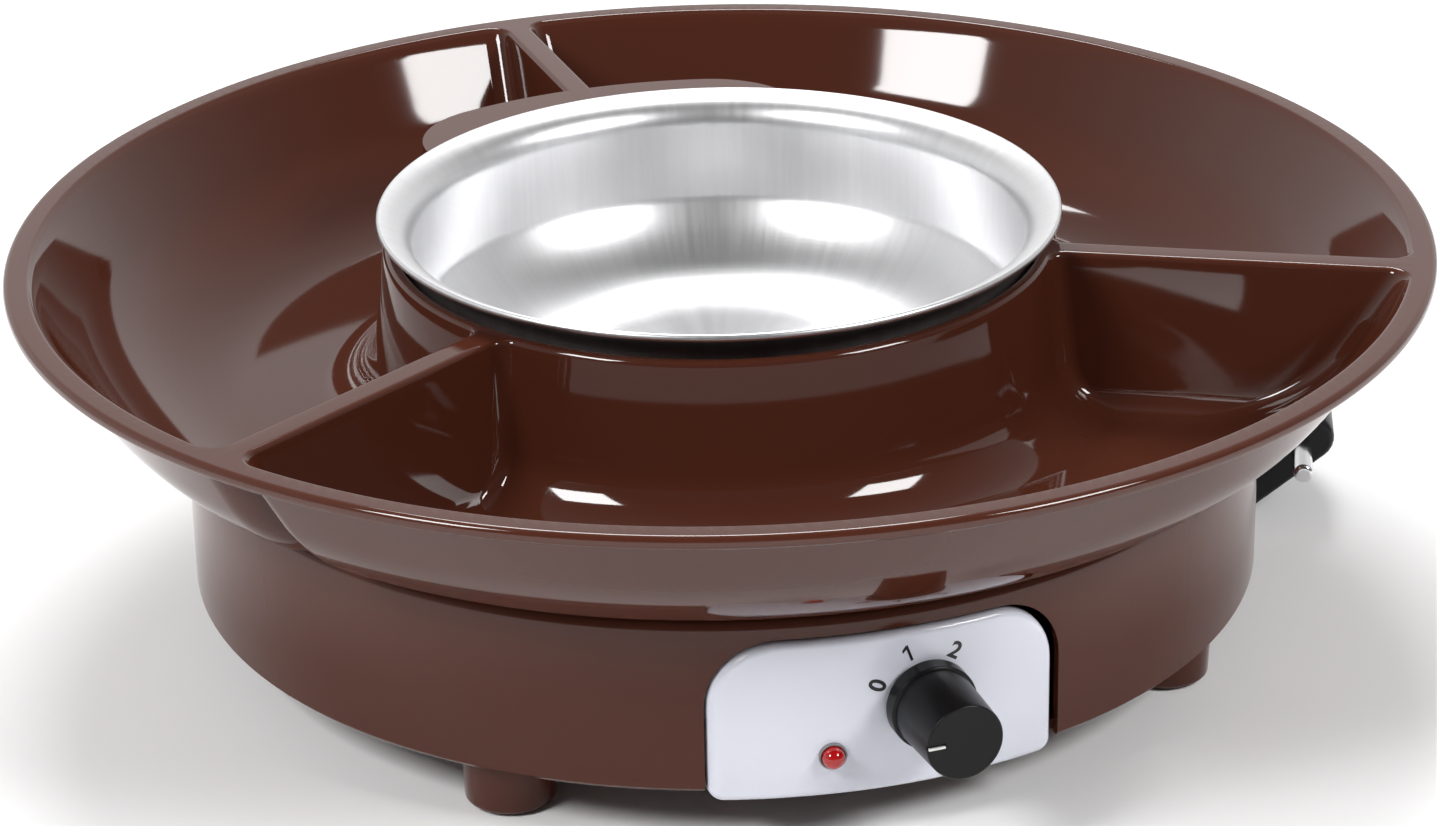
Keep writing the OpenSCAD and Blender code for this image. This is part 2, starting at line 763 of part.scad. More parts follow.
// Heater stack
module heater_plate() {
    color("#b4b6ba")
    rotate_extrude() polygon([[0, plate_z], [plate_r, plate_z], [plate_r, plate_top - bead_r],
        [plate_r - bead_r, plate_top], [0, plate_top]]);
}
module insulating_ring() {
    ledge = plate_z - run_gap;
    color("#2b2b2e")
    rotate_extrude() polygon([[plate_r - ring_ledge_w, ring_z], [ring_out_r + ring_flange_w, ring_z],
        [ring_out_r + ring_flange_w, ring_z + ring_flange_t], [ring_out_r, ring_z + ring_flange_t],
        [ring_out_r, ring_top], [plate_r + ring_fit, ring_top], [plate_r + ring_fit, ledge],
        [plate_r - ring_ledge_w, ledge]]);
}
module heating_element() {
    start = (360 - element_sweep) / 2;
    color("#6f7276")
    translate([0, 0, element_z]) rotate([0, 0, start - 90]) {
        rotate_extrude(angle = element_sweep) translate([element_r, 0]) circle(element_tube_r);
        for (a = [element_pin_az, element_sweep - element_pin_az]) rotate([0, 0, a])
            translate([element_r, 0, -element_tube_r - element_pin_len + over])
                cylinder(r = element_pin_r, h = element_pin_len + element_tube_r);
    }
}
module heat_shield() {
    color("#c3c6ca")
    difference() {
        rotate_extrude() polygon([[shield_hole_r, shield_z], [shield_r - shield_flute, shield_z],
            [shield_r, shield_z + shield_flute], [shield_r, shield_top], [shield_r - shield_t, shield_top],
            [shield_r - shield_t, shield_z + shield_flute], [shield_r - shield_flute - shield_t / 2, shield_z + shield_t],
            [shield_hole_r, shield_z + shield_t]]);
        at_posts() translate([0, 0, shield_z - over]) cylinder(r = small_screw_r + run_gap, h = 2 * over + shield_t);
        for (side = [-1, 1]) rotate([0, 0, -90 + side * ((360 - element_sweep) / 2 + element_pin_az)])
            translate([element_r, 0, shield_z - over]) cylinder(r = 2 * element_pin_r, h = 2 * over + shield_t);
    }
}
module shield_screws() {
    color("#b9bcc0")
    at_posts() translate([0, 0, shield_z + shield_t + run_gap]) mirror([0, 0, 1])
        pan_screw(small_screw_r, small_head_r, small_head_t, small_screw_len);
}
module thermostat() {
    color("#efe9dc")
    translate([0, 0, thermostat_z]) {
        difference() {
            union() {
                cylinder(r = thermostat_r, h = thermostat_h);
                translate([-thermostat_ear, -blade_w / 2, thermostat_h - ear_t])
                    cube([2 * thermostat_ear, blade_w, ear_t]);
            }
            for (side = [-1, 1]) translate([side * (thermostat_ear - blade_w / 2), 0, thermostat_h - ear_t - over])
                cylinder(r = small_screw_r + run_gap, h = ear_t + 2 * over);
        }
        for (side = [-1, 1]) translate([side * thermostat_r / 2 - blade_t / 2, -blade_w / 2, -blade_len / 2])
            cube([blade_t, blade_w, blade_len / 2 + over]);
    }
}
module thermostat_screws() {
    color("#b9bcc0")
    for (side = [-1, 1])
        translate([side * (thermostat_ear - blade_w / 2), 0, thermostat_z + thermostat_h - ear_t - run_gap])
            pan_screw(small_screw_r, small_head_r, small_head_t, ear_t + seat_gap);
}
module thermal_fuse() {
    color("#e8e2d2")
    translate([-fuse_len / 2, fuse_y, fuse_z]) rotate([0, 90, 0]) {
        cylinder(r = fuse_r, h = fuse_len);
        translate([0, 0, -fuse_lead_len]) cylinder(r = fuse_lead_r, h = 2 * fuse_lead_len + fuse_len);
    }
}
module fuse_clip() {
    in_r = fuse_r + run_gap;
    out_r = in_r + clip_t;
    color("#b9bcc0")
    translate([-clip_w / 2, fuse_y, fuse_z]) {
        rotate([90, 0, 90]) linear_extrude(clip_w) {
            difference() {
                circle(out_r);
                circle(in_r);
                translate([-out_r, 0]) square([2 * out_r, out_r]);
            }
            for (side = [-1, 1]) translate([side * (in_r + clip_t / 2) - clip_t / 2, 0])
                square([clip_t, fuse_r]);
            translate([-out_r - clip_foot + clip_t, fuse_r - clip_t]) square([clip_foot, clip_t]);
            translate([out_r - clip_t, fuse_r - clip_t]) square([clip_foot, clip_t]);
        }
    }
}

// Wiring inside the base
module terminal_block() {
    color("#e6e1d6")
    translate([-block_l / 2, block_y - block_w / 2, block_z]) difference() {
        cube([block_l, block_w, block_h]);
        for (k = [0 : block_way_n - 1]) translate([block_l * (k + 0.5) / block_way_n, 0, 0]) {
            translate([0, -over, block_h / 3]) rotate([-90, 0, 0])
                cylinder(r = block_way_r, h = block_w + 2 * over);
            translate([0, block_w / 2, block_h / 3]) cylinder(r = block_screw_r, h = block_h);
        }
    }
}
module terminal_screws() {
    color("#c9a04e")
    for (k = [0 : block_way_n - 1])
        translate([-block_l / 2 + block_l * (k + 0.5) / block_way_n, block_y, block_z + block_h - blade_len])
            cylinder(r = block_screw_r - run_gap, h = blade_len - over);
}
module cord_clamp() {
    color("#e6e1d6")
    translate([-clamp_bar_l / 2, clamp_y - clamp_bar_w / 2, lead_z + lead_d / 2 + run_gap]) difference() {
        union() {
            cube([clamp_bar_l, clamp_bar_w, clamp_bar_t]);
            for (side = [-1, 1]) translate([clamp_bar_l / 2 + side * clamp_post_x, clamp_bar_w / 2, -lead_d + fit_gap - run_gap])
                cylinder(r = clamp_bar_w / 2, h = lead_d + clamp_bar_t / 2);
        }
        for (side = [-1, 1]) translate([clamp_bar_l / 2 + side * clamp_post_x, clamp_bar_w / 2, -lead_d - over])
            cylinder(r = small_screw_r + run_gap, h = lead_d + clamp_bar_t + 2 * over);
    }
}
module clamp_screws() {
    color("#b9bcc0")
    for (side = [-1, 1])
        translate([side * clamp_post_x, clamp_y, lead_z + lead_d / 2 + clamp_bar_t + 2 * run_gap])
            mirror([0, 0, 1])
                pan_screw(small_screw_r, small_head_r, small_head_t, lead_d + clamp_bar_t + small_screw_len / 2);
}
module inner_lead() {
    start = relief_y0 - run_gap;
    color("#1d1c1c")
    translate([0, start, lead_z]) rotate([90, 0, 0])
        cylinder(r = lead_d / 2, h = start - block_y - block_w / 2 - blade_len);
}

// Tube swept along a route, its end faces square to the given directions
function unit(v) = v / norm(v);
function tangent(p, i) =
    let (n = len(p)) unit(i == 0 ? p[1] - p[0] : i == n - 1 ? p[n - 1] - p[n - 2]
        : unit(p[i + 1] - p[i]) + unit(p[i] - p[i - 1]));
function side_of(t) = unit(cross(abs(t.z) > steep_share ? [1, 0, 0] : [0, 0, 1], t));
function tube_ring(c, t, r, sides) =
    let (u = side_of(t), v = cross(t, u))
    [for (k = [0 : sides - 1]) let (a = 360 * (k + 0.5) / sides) c + r * (cos(a) * u + sin(a) * v)];
module tube(route, d, sides) {
    n = len(route);
    points = [for (i = [0 : n - 1]) each tube_ring(route[i], tangent(route, i), d / 2, sides)];
    walls = [for (i = [0 : n - 2]) for (k = [0 : sides - 1])
        let (j = (k + 1) % sides, a = i * sides + k, b = i * sides + j, c = b + sides, e = a + sides)
        each [[a, b, c], [a, c, e]]];
    ends = concat([for (k = [1 : sides - 2]) [0, k + 1, k]],
        [for (k = [1 : sides - 2]) let (o = (n - 1) * sides) [o, o + k, o + k + 1]]);
    polyhedron(points = points, faces = [for (f = concat(walls, ends)) [f[0], f[2], f[1]]], convexity = 8);
}

// Wires between the terminal block, the switch and the heater
wire_routes = [
    [[-8.7, 69, 22.7], [-8.7, 62, 22.7], [-16, 48, 24], [-36, 30, 24], [-60, 0, 22], [-62, -40, 22],
        [-50, -80, 24], [-24, -97, 30], [-10, -100, 32.2], [-6.5, -104.5, 32.2]],
    [[6.5, -104.5, 32.2], [8, -99, 32.2], [14, -90, 30], [15, -72, 28], [14.4, -50, 28], [14, -34, 29.5],
        [14, -28.8, 32], [14, -28.8, 34.3]],
    [[8.7, 69, 22.7], [8.7, 62, 22.7], [20, 46, 24], [32, 10, 24], [26, -16, 24], [8, -26, 24],
        [-8, -28, 26], [-14, -28.8, 31], [-14, -28.8, 34.3]],
    [[-1.3, 87.3, 24.7], [-1.3, 86.2, 24.7], [-2.6, 85.2, 24.4], [-6.4, 84.1, 23.3], [-8.5, 83.2, 22.8],
        [-8.7, 82, 22.7], [-8.7, 79, 22.7]],
    [[1.3, 87.3, 24.7], [1.3, 86.2, 24.7], [2.6, 85.2, 24.4], [6.4, 84.1, 23.3], [8.5, 83.2, 22.8],
        [8.7, 82, 22.7], [8.7, 79, 22.7]],
    [[0, 87.3, 22.5], [0, 86, 22.5], [0, 82, 22.7], [0, 79, 22.7]],
];
module inner_wires() {
    color("#a33a2c")
    for (route = wire_routes) tube(route, wire_d, wire_sides);
}

// Strain relief: a ribbed, tapered bush in the back wall
module strain_relief() {
    out_y = base_r + run_gap;
    taper_y = out_y + relief_flange_t;
    length = relief_exit.y - taper_y;
    r_at = function(s) relief_neck_r + (relief_tip_r - relief_neck_r) * s;
    step = 1 / (2 * relief_rib_n + 1);
    color("#1d1c1c")
    translate([relief_exit.x, 0, relief_exit.z]) rotate([-90, 0, 0]) rotate_extrude()
        polygon(concat([[0, relief_y0], [relief_flange_r - ear_t, relief_y0],
            [relief_flange_r - ear_t, relief_y0 + relief_in_t], [relief_neck_r, relief_y0 + relief_in_t],
            [relief_neck_r, out_y], [relief_flange_r, out_y], [relief_flange_r, out_y + relief_flange_t / 2],
            [relief_flange_r - ear_t, taper_y]],
            [for (k = [0 : relief_rib_n - 1]) each [
                [r_at(2 * k * step), taper_y + 2 * k * step * length],
                [r_at((2 * k + 1) * step), taper_y + (2 * k + 1) * step * length],
                [r_at((2 * k + 1) * step) - relief_groove, taper_y + (2 * k + 1) * step * length],
                [r_at((2 * k + 2) * step) - relief_groove, taper_y + (2 * k + 2) * step * length]]],
            [[r_at(1 - step), taper_y + (1 - step) * length], [relief_tip_r, relief_exit.y],
             [0, relief_exit.y]]));
}

// Mains lead outside the base
function coil_radius(u) = coil_out_r - coil_pitch * min(u, coil_turns - u);
function smooth(s) = s <= 0 ? 0 : s >= 1 ? 1 : s * s * (3 - 2 * s);
function coil_height(u) = lead_d / 2 + coil_pitch * smooth((u - (coil_turns - coil_rise_turns) / 2) / coil_rise_turns);
coil_steps = coil_turns * coil_rings;
coil_route = concat(
    [[coil_centre.x - lead_d, coil_centre.y + coil_out_r, coil_height(0)]],
    [for (i = [0 : coil_steps]) let (u = i / coil_rings, a = 90 - 360 * u)
        [coil_centre.x + coil_radius(u) * cos(a), coil_centre.y + coil_radius(u) * sin(a), coil_height(u)]],
    [[coil_centre.x + lead_d, coil_centre.y + coil_out_r, coil_height(coil_turns)]]);
// Least distance between stretches of the coil that lie half a turn or more apart, less its diameter
coil_gap = min([for (i = [0 : len(coil_route) - 1]) for (j = [i + coil_rings / 2 : len(coil_route) - 1])
    norm(coil_route[i] - coil_route[j])]) - lead_d;
echo(coil_least_gap = coil_gap);

module cord_lead() {
    color("#1d1c1c") tube(lead_route, lead_d, lead_sides);
}
module cord_coil() {
    color("#1d1c1c") tube(coil_route, lead_d, coil_sides);
}
module cord_tail() {
    color("#1d1c1c") tube(tail_route, lead_d, lead_sides);
}

// Plug: local X along its width, local Y from its boot to its pins, zero at the boot's end
module at_plug() {
    end = tail_route[len(tail_route) - 1];
    way = end - tail_route[len(tail_route) - 2];
    translate(end) rotate([0, 0, atan2(way.y, way.x) - 90]) rotate([0, plug_roll, 0]) children();
}
module plug_outline() {
    x = plug_w / 2 - plug_corner;
    y = plug_t / 2 - plug_corner;
    for (side = [-1, 1], level = [-1, 1]) translate([side * x, level * y]) circle(plug_corner);
    translate([-x, -plug_t / 2]) square([2 * x, plug_t]);
    translate([-plug_w / 2, -y]) square([plug_w, 2 * y]);
}
module plug_body() {
    neck = plug_len * plug_neck_share;
    color("#17171a")
    at_plug() {
        rotate([-90, 0, 0]) rotate_extrude()
            polygon([[0, 0], [plug_boot_tip_r, 0], [plug_boot_tip_r + ear_t, plug_boot + over],
                [0, plug_boot + over]]);
        translate([0, plug_boot, 0]) intersection() {
            rotate([-90, 0, 0]) linear_extrude(plug_len) plug_outline();
            translate([0, 0, -plug_t]) linear_extrude(2 * plug_t)
                polygon([[-plug_waist / 2 + plug_nose, 0], [plug_waist / 2 - plug_nose, 0],
                    [plug_w / 2 - over, neck], [plug_w / 2, neck + plug_nose], [plug_w / 2, plug_len],
                    [-plug_w / 2, plug_len], [-plug_w / 2, neck + plug_nose], [-plug_w / 2 + over, neck]]);
        }
    }
}
module plug_pins() {
    color("#d8dade")
    at_plug() for (side = [-1, 1])
        translate([side * pin_gap / 2, plug_boot + plug_len + run_gap, 0]) rotate([-90, 0, 0]) {
            cylinder(r = pin_d / 2, h = pin_len - pin_round);
            translate([0, 0, pin_len - pin_round])
                cylinder(r1 = pin_d / 2, r2 = pin_d / 2 - pin_round, h = pin_round);
        }
}

base_shell();
bottom_cover();
feet();
foot_pads();
cover_screws();
control_panel();
control_knob();
switch_shaft();
rotary_switch();
switch_nut();
switch_washer();
indicator_lens();
indicator_bezel();
indicator_socket();
serving_tray();
melting_pot();
heater_plate();
insulating_ring();
heating_element();
heat_shield();
shield_screws();
thermostat();
thermostat_screws();
thermal_fuse();
fuse_clip();
terminal_block();
terminal_screws();
cord_clamp();
clamp_screws();
inner_lead();
inner_wires();
strain_relief();
cord_lead();
cord_coil();
cord_tail();
plug_body();
plug_pins();
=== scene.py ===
# Electric fondue pot: the pieces, materials, floor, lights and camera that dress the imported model.
# Lengths are in metres in the model's own frame; profiles are written in millimetres.
import math

import bmesh
import bpy
from bpy.props import FloatProperty, FloatVectorProperty, PointerProperty
from mathutils import Matrix, Vector


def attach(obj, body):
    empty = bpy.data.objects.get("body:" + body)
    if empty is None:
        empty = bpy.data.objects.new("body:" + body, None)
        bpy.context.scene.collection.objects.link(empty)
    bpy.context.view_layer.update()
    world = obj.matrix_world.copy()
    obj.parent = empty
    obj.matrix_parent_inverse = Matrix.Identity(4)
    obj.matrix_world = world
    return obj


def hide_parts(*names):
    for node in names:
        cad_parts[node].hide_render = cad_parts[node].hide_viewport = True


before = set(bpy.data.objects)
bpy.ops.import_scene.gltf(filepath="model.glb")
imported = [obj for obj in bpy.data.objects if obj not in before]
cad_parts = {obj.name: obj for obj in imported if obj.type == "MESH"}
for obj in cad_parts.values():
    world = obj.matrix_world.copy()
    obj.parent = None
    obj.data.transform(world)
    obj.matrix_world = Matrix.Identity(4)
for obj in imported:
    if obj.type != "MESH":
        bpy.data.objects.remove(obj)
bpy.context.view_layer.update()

bl_info = {
    "name": "Electric fondue pot",
    "version": (1, 0, 0),
    "blender": (4, 5, 0),
    "location": "3D View > Sidebar > Fondue pot",
    "description": "Builds the visible pieces of an electric fondue pot round its solid model",
    "category": "Add Mesh",
}

MM = 0.001

# Base in millimetres, as in the solid model
FOOT_H = 14.0
FOOT_AT = 111.5
BASE_R = 126.0
BASE_WALL = 2.5
BASE_TOP = 54.4
DECK_Z = 53.0
WELL_R = 50.0

# Serving tray in millimetres; PAST is how far a cutter runs past a face
TRAY_Z = 53.3
TRAY_WALL = 2.4
FLOOR_Z = TRAY_Z + TRAY_WALL
RIM_Z = 93.0
RIM_T = 3.2
RIM_EDGE = 1.4
TRAY_R = 165.0
CAVITY_R = 158.8
HUB_R = 78.0
HUB_HOLE_R = 75.0
COLLAR_H = 8.0
HALF_RIB = 3.5
TUB_HALF_ANGLE = 60
TUB_TURNS = (-90, 30, 150)
BOWL_LEAN, BOWL_ROUND = 31.0, 42.0
HUB_LEAN, HUB_ROUND = 7.0, 14.0
END_LEAN, END_ROUND = 3.0, 5.0
OUTER_CORNER, INNER_CORNER = 5.0, 4.0
LANDING_R, LANDING_HALF, LANDING_ROUND = 104.5, 17.5, 9.0
LANDING_CORNER = 24.0
TUB_EDGE = 1.2
PAST = 1.0
CORNER_STEPS, WALL_STEPS, LANDING_STEPS = 10, 72, 24
CAVITY_LEVELS, SHELL_LEVELS, LANDING_LEVELS = 30, 26, 14

# Melting pot in millimetres
POT_Z = 53.5
POT_TOP = 99.9
POT_R = 79.4
POT_BORE = 71.2
POT_WALL = 1.3
POT_BOWL = 35.0
POT_BEND_H = 19.5
POT_FLARE_H = 8.0
POT_BEAD = 0.9

# Control panel in millimetres, bent round the base
PANEL_R = 127.0
PANEL_BACK_R = 123.9
PANEL_LEFT, PANEL_RIGHT = -46.2, 30.6
PANEL_LOW, PANEL_HIGH = 12.0, 49.2
PANEL_LOW_ROUND, PANEL_TOP_ROUND = 3.0, 15.0
PANEL_EDGE = 1.6
PANEL_STEPS = 72

# Knob, indicator and numbers in millimetres; the knob's own heights start at its back
KNOB_Z = 32.2
KNOB_BACK = -127.6
KNOB_FACE = 20.42
SLOT_LOW, SLOT_END = -0.45, -4.4
LENS_AZ = -99.5
LENS_Z = 21.9
LENS_R = 2.5
BEZEL_IN, BEZEL_OUT = 2.56, 3.11
NUMBERS = (("0", 155), ("1", 110), ("2", 58))
NUMBER_R = 10.5
NUMBER_SIZE, NUMBER_WEIGHT = 5.4, 0.14
NUMBER_TOP, NUMBER_ROOT = 0.06, -0.2

# Route of the lead in metres: strain relief to coil, coil, coil to plug
LEAD_ROUTE = [(0, .156, .024), (0, .164, .024), (0, .176, .0195), (.001, .188, .012),
              (.006, .2, .0055), (.017, .208, .003), (.032, .211, .003), (.045, .211, .003),
              (.058, .211, .003)]
PLUG_Z = 0.01429
TAIL_ROUTE = [(.07, .211, .0095), (.08, .211, .0093), (.092, .209, .0075), (.105, .205, .005),
              (.118, .198, .0034), (.131, .188, .003), (.143, .176, .003), (.154, .162, .003),
              (.163, .147, .003), (.17, .131, .003), (.175, .114, .003), (.1775, .1, .0032),
              (.178, .085, .0054), (.1756, .0694, .0092), (.1708, .0564, .0126),
              (.1656, .0451, PLUG_Z), (.1624, .0382, PLUG_Z)]
COIL_CENTRE = (.064, .17)
COIL_OUT_R = .041
COIL_PITCH = .0065
COIL_TURNS = 5
COIL_STEPS = 72
COIL_CLIMB = 0.5
LEAD_REST_Z = .003

# Plug in millimetres; its stations are distance from the boot's root, half width, half height, corner
PLUG_ROLL = 40.0
PLUG_STATIONS = [(20.0, 9.0, 4.6, 4.4), (20.4, 9.8, 5.3, 4.9), (22.0, 10.9, 6.2, 5.4),
                 (26.0, 13.0, 6.6, 5.8), (31.0, 15.8, 6.8, 6.0), (34.5, 17.1, 6.85, 6.0),
                 (37.0, 17.65, 6.85, 6.0), (54.6, 17.65, 6.85, 6.0), (55.5, 17.3, 6.5, 5.7),
                 (55.9, 16.8, 6.0, 5.2), (56.0, 16.2, 5.4, 4.6)]
PIN_R = 2.4
PIN_APART = 9.5
PIN_ROOT, PIN_END = 55.5, 75.1
PIN_ROUND = 1.1

# Camera in metres, fitted to the photograph; its lens and sensor in millimetres
CAMERA_AT = (-0.3092, -0.8752, 0.4602)
CAMERA_TARGET = (-0.00093, 0.00033, 0.04637)
CAMERA_LENS, CAMERA_SENSOR = 107.47, 36.0
CAMERA_ROLL = -1.15

# Lights: name, azimuth and elevation in degrees, distance and size in metres, power in watts
LIGHTS = (("light_left", -158, 39, 1.5, (0.42, 0.42), 14),
          ("light_right", -53, 37, 1.5, (0.46, 0.4), 13),
          ("light_top", 75, 60, 2.0, (0.85, 0.62), 25))


# Properties

def colour_property(name, description, default):
    """A colour that a user can change."""
    return FloatVectorProperty(name=name, description=description, subtype="COLOR", size=3,
                               min=0, max=1, default=default)


class FonduePotColours(bpy.types.PropertyGroup):
    """Colours of the pot's finishes."""
    brown: colour_property("Brown", "Colour of the tray and the base", (0.067, 0.0178, 0.0096))
    panel: colour_property("Panel", "Colour of the control panel", (0.69, 0.705, 0.785))
    black: colour_property("Black", "Colour of the knob, the lead and the plug", (0.006, 0.006, 0.0065))
    lens: colour_property("Lens", "Colour of the indicator's lens", (0.4, 0.004, 0.003))
    aluminium: colour_property("Aluminium", "Colour of the melting pot", (0.75, 0.75, 0.76))


class FonduePotFinish(bpy.types.PropertyGroup):
    """How glossy the finishes are."""
    gloss: FloatProperty(name="Plastic roughness", description="Roughness of the glossy mouldings",
                         min=0.02, max=1, default=0.06)
    satin: FloatProperty(name="Pot roughness", description="Roughness of the satin aluminium",
                         min=0.02, max=1, default=0.36)


class FonduePotLead(bpy.types.PropertyGroup):
    """Size of the mains lead."""
    diameter: FloatProperty(name="Lead diameter", description="Diameter of the mains lead",
                            unit="LENGTH", min=0.004, max=0.008, default=0.006)


# Points and faces

def polar(r, degrees):
    """A point at that distance and angle from zero."""
    return r * math.cos(math.radians(degrees)), r * math.sin(math.radians(degrees))


def arc(cx, cy, r, start, end, steps=8):
    """Points of a round stretch of an outline, angles in degrees."""
    stretch = [polar(r, start + (end - start) * i / steps) for i in range(steps + 1)]
    return [(cx + x, cy + y) for x, y in stretch]


def revolve(profile, steps, closed=True):
    """Points and faces of a profile of (radius, height) pairs turned about Z."""
    verts, rings = [], []
    for r, z in profile:
        if r < 1e-6:
            rings.append([len(verts)] * steps)
            verts.append((0.0, 0.0, z))
        else:
            rings.append(list(range(len(verts), len(verts) + steps)))
            verts += [(*polar(r, 360 * k / steps), z) for k in range(steps)]
    faces = []
    pairs = list(zip(rings, rings[1:])) + ([(rings[-1], rings[0])] if closed else [])
    for lower, upper in pairs:
        for k in range(steps):
            j = (k + 1) % steps
            face = [lower[k], lower[j], upper[j], upper[k]]
            face = [v for i, v in enumerate(face) if v not in face[:i]]
            if len(face) > 2:
                faces.append(face)
    return verts, faces


def placed(part, matrix):
    """A part moved by a matrix whose lengths are in millimetres."""
    return [tuple(matrix @ Vector(v)) for v in part[0]], part[1]


def turned(part, degrees):
    """A part turned about Z."""
    return placed(part, Matrix.Rotation(math.radians(degrees), 4, "Z"))


def laid_along_y(part, x=0.0, z=0.0):
    """A part revolved about Z, laid so that its axis runs along Y and moved by x and z."""
    return [(vx + x, vz, z - vy) for vx, vy, vz in part[0]], part[1]


def joined(parts):
    """Several parts as one."""
    verts, faces = [], []
    for v, f in parts:
        base = len(verts)
        verts += v
        faces += [[i + base for i in face] for face in f]
    return verts, faces


def ring_faces(count, rings):
    """Faces between stacked rings of that many points each."""
    return [[k * count + i, k * count + (i + 1) % count,
             (k + 1) * count + (i + 1) % count, (k + 1) * count + i]
            for k in range(rings - 1) for i in range(count)]


def skin(sections):
    """Closed skin over a stack of outlines whose two halves have as many points each."""
    n, m = len(sections[0]), len(sections)
    faces = ring_faces(n, m)
    for first in (0, (m - 1) * n):
        faces += [[first + i, first + i + 1, first + n - 2 - i, first + n - 1 - i]
                  for i in range(n // 2 - 1)]
    return [point for section in sections for point in section], faces


def box(xs, ys, zs):
    """Points and faces of a box between two values on each axis."""
    return ([(x, y, z) for x in xs for y in ys for z in zs],
            [[0, 1, 3, 2], [4, 6, 7, 5], [0, 4, 5, 1], [2, 3, 7, 6], [0, 2, 6, 4], [1, 5, 7, 3]])


# Mesh objects

def clean_mesh(mesh, merge=1e-7):
    """Merges doubled points and turns all faces outwards."""
    bm = bmesh.new()
    bm.from_mesh(mesh)
    bmesh.ops.remove_doubles(bm, verts=bm.verts, dist=merge)
    bmesh.ops.recalc_face_normals(bm, faces=bm.faces)
    bm.to_mesh(mesh)
    bm.free()


def linked_object(name, data):
    """A new object with its data, linked to the scene."""
    obj = bpy.data.objects.new(name, data)
    bpy.context.scene.collection.objects.link(obj)
    return obj


def mesh_object(name, part):
    """A mesh object made of a part in millimetres."""
    verts, faces = part
    mesh = bpy.data.meshes.new(name)
    mesh.from_pydata([tuple(c * MM for c in v) for v in verts], [], [tuple(f) for f in faces])
    clean_mesh(mesh)
    return linked_object(name, mesh)


def boolean(piece, cutter, operation):
    """Applies a boolean and removes the cutter."""
    mod = piece.modifiers.new("cut", "BOOLEAN")
    mod.operation = operation
    mod.solver = "EXACT"
    mod.object = cutter
    bpy.context.view_layer.objects.active = piece
    bpy.ops.object.modifier_apply(modifier=mod.name)
    bpy.data.objects.remove(cutter, do_unlink=True)


def finish_piece(piece, body, nodes, finish, sharp=35.0, smooth=True):
    """Shades a piece, gives it its material, ties it to its body and hides the model's nodes that it
    stands for.
    """
    mesh = piece.data
    mesh.polygons.foreach_set("use_smooth", [smooth] * len(mesh.polygons))
    if smooth:
        mesh.set_sharp_from_angle(angle=math.radians(sharp))
    mesh.materials.append(MATERIALS[finish])
    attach(piece, body)
    if nodes:
        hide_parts(*nodes)


def add_piece(name, part, body, nodes, finish, sharp=35.0, smooth=True):
    """Adds a finished piece made of a part in millimetres."""
    piece = mesh_object(name, part)
    finish_piece(piece, body, nodes, finish, sharp, smooth)
    return piece


# Tray outlines

def wall_in(z, full, lean, foot):
    """How far a wall that leans by some degrees, with a rounded foot, has come in at height z."""
    lean = math.radians(lean)
    foot_end = foot * (1 - math.sin(lean))
    if z >= foot_end:
        return (full - z) * math.tan(lean)
    return ((full - foot_end) * math.tan(lean) + foot * math.cos(lean)
            - math.sqrt(max(0.0, foot * foot - (foot - z) ** 2)))


def tub_chain(r, half_gap, corner, sign):
    """One curved side of a tub's outline; sign is 1 for the outer side and -1 for the hub's."""
    centre_r = r - sign * corner
    mid = TUB_HALF_ANGLE - math.degrees(math.asin((half_gap + corner) / centre_r))
    corner_end = mid if sign > 0 else mid + 180
    right = arc(*polar(centre_r, mid), corner, TUB_HALF_ANGLE + 90, corner_end, CORNER_STEPS)
    wall = arc(0, 0, r, mid, -mid, WALL_STEPS)[1:-1]
    return right + wall + [(x, -y) for x, y in reversed(right)]


def tub_section(r_out, r_in, half_gap, corner_out, corner_in, z):
    """A tub's closed outline at one level."""
    room = 0.25 * (r_out - r_in)
    outer = tub_chain(r_out, half_gap, min(corner_out, room), 1)
    inner = tub_chain(r_in, half_gap, min(corner_in, room), -1)
    return [(x, y, z) for x, y in outer + inner[::-1]]


def landing_section(grow, z):
    """Outline of the hub's landing at one level, its middle along +X."""
    corner_r = LANDING_CORNER + grow
    corner_at = polar(LANDING_R - LANDING_CORNER, LANDING_HALF)
    corner = arc(*corner_at, corner_r, LANDING_HALF + 90, LANDING_HALF, LANDING_STEPS)
    front = arc(0, 0, LANDING_R + grow, LANDING_HALF, -LANDING_HALF, LANDING_STEPS)[1:-1]
    outer = corner + front + [(x, -y) for x, y in reversed(corner)]
    in_r = HUB_R - TRAY_WALL / 2
    end = LANDING_HALF + math.degrees(math.asin(corner_r / in_r))
    inner = arc(0, 0, in_r, end, -end, len(outer) - 1)
    return [(x, y, z) for x, y in outer + inner[::-1]]


def tub_cavity():
    """The hollow of one tub, its middle along +X."""
    full = RIM_Z - FLOOR_Z
    levels = [(full - TUB_EDGE) * (i / CAVITY_LEVELS) ** 2 for i in range(CAVITY_LEVELS + 1)]
    sections = [tub_section(CAVITY_R - wall_in(z, full, BOWL_LEAN, BOWL_ROUND),
                            HUB_R + wall_in(z, full, HUB_LEAN, HUB_ROUND),
                            HALF_RIB + wall_in(z, full, END_LEAN, END_ROUND),
                            OUTER_CORNER, INNER_CORNER, FLOOR_Z + z) for z in levels]
    for angle in (22.5, 45, 67.5, 90):
        out = TUB_EDGE * (1 - math.cos(math.radians(angle)))
        z = RIM_Z - TUB_EDGE + TUB_EDGE * math.sin(math.radians(angle))
        sections.append(tub_section(CAVITY_R + out, HUB_R - out, HALF_RIB - out,
                                    OUTER_CORNER + out, INNER_CORNER, z))
    sections.append([(x, y, RIM_Z + PAST) for x, y, z in sections[-1]])
    return skin(sections)


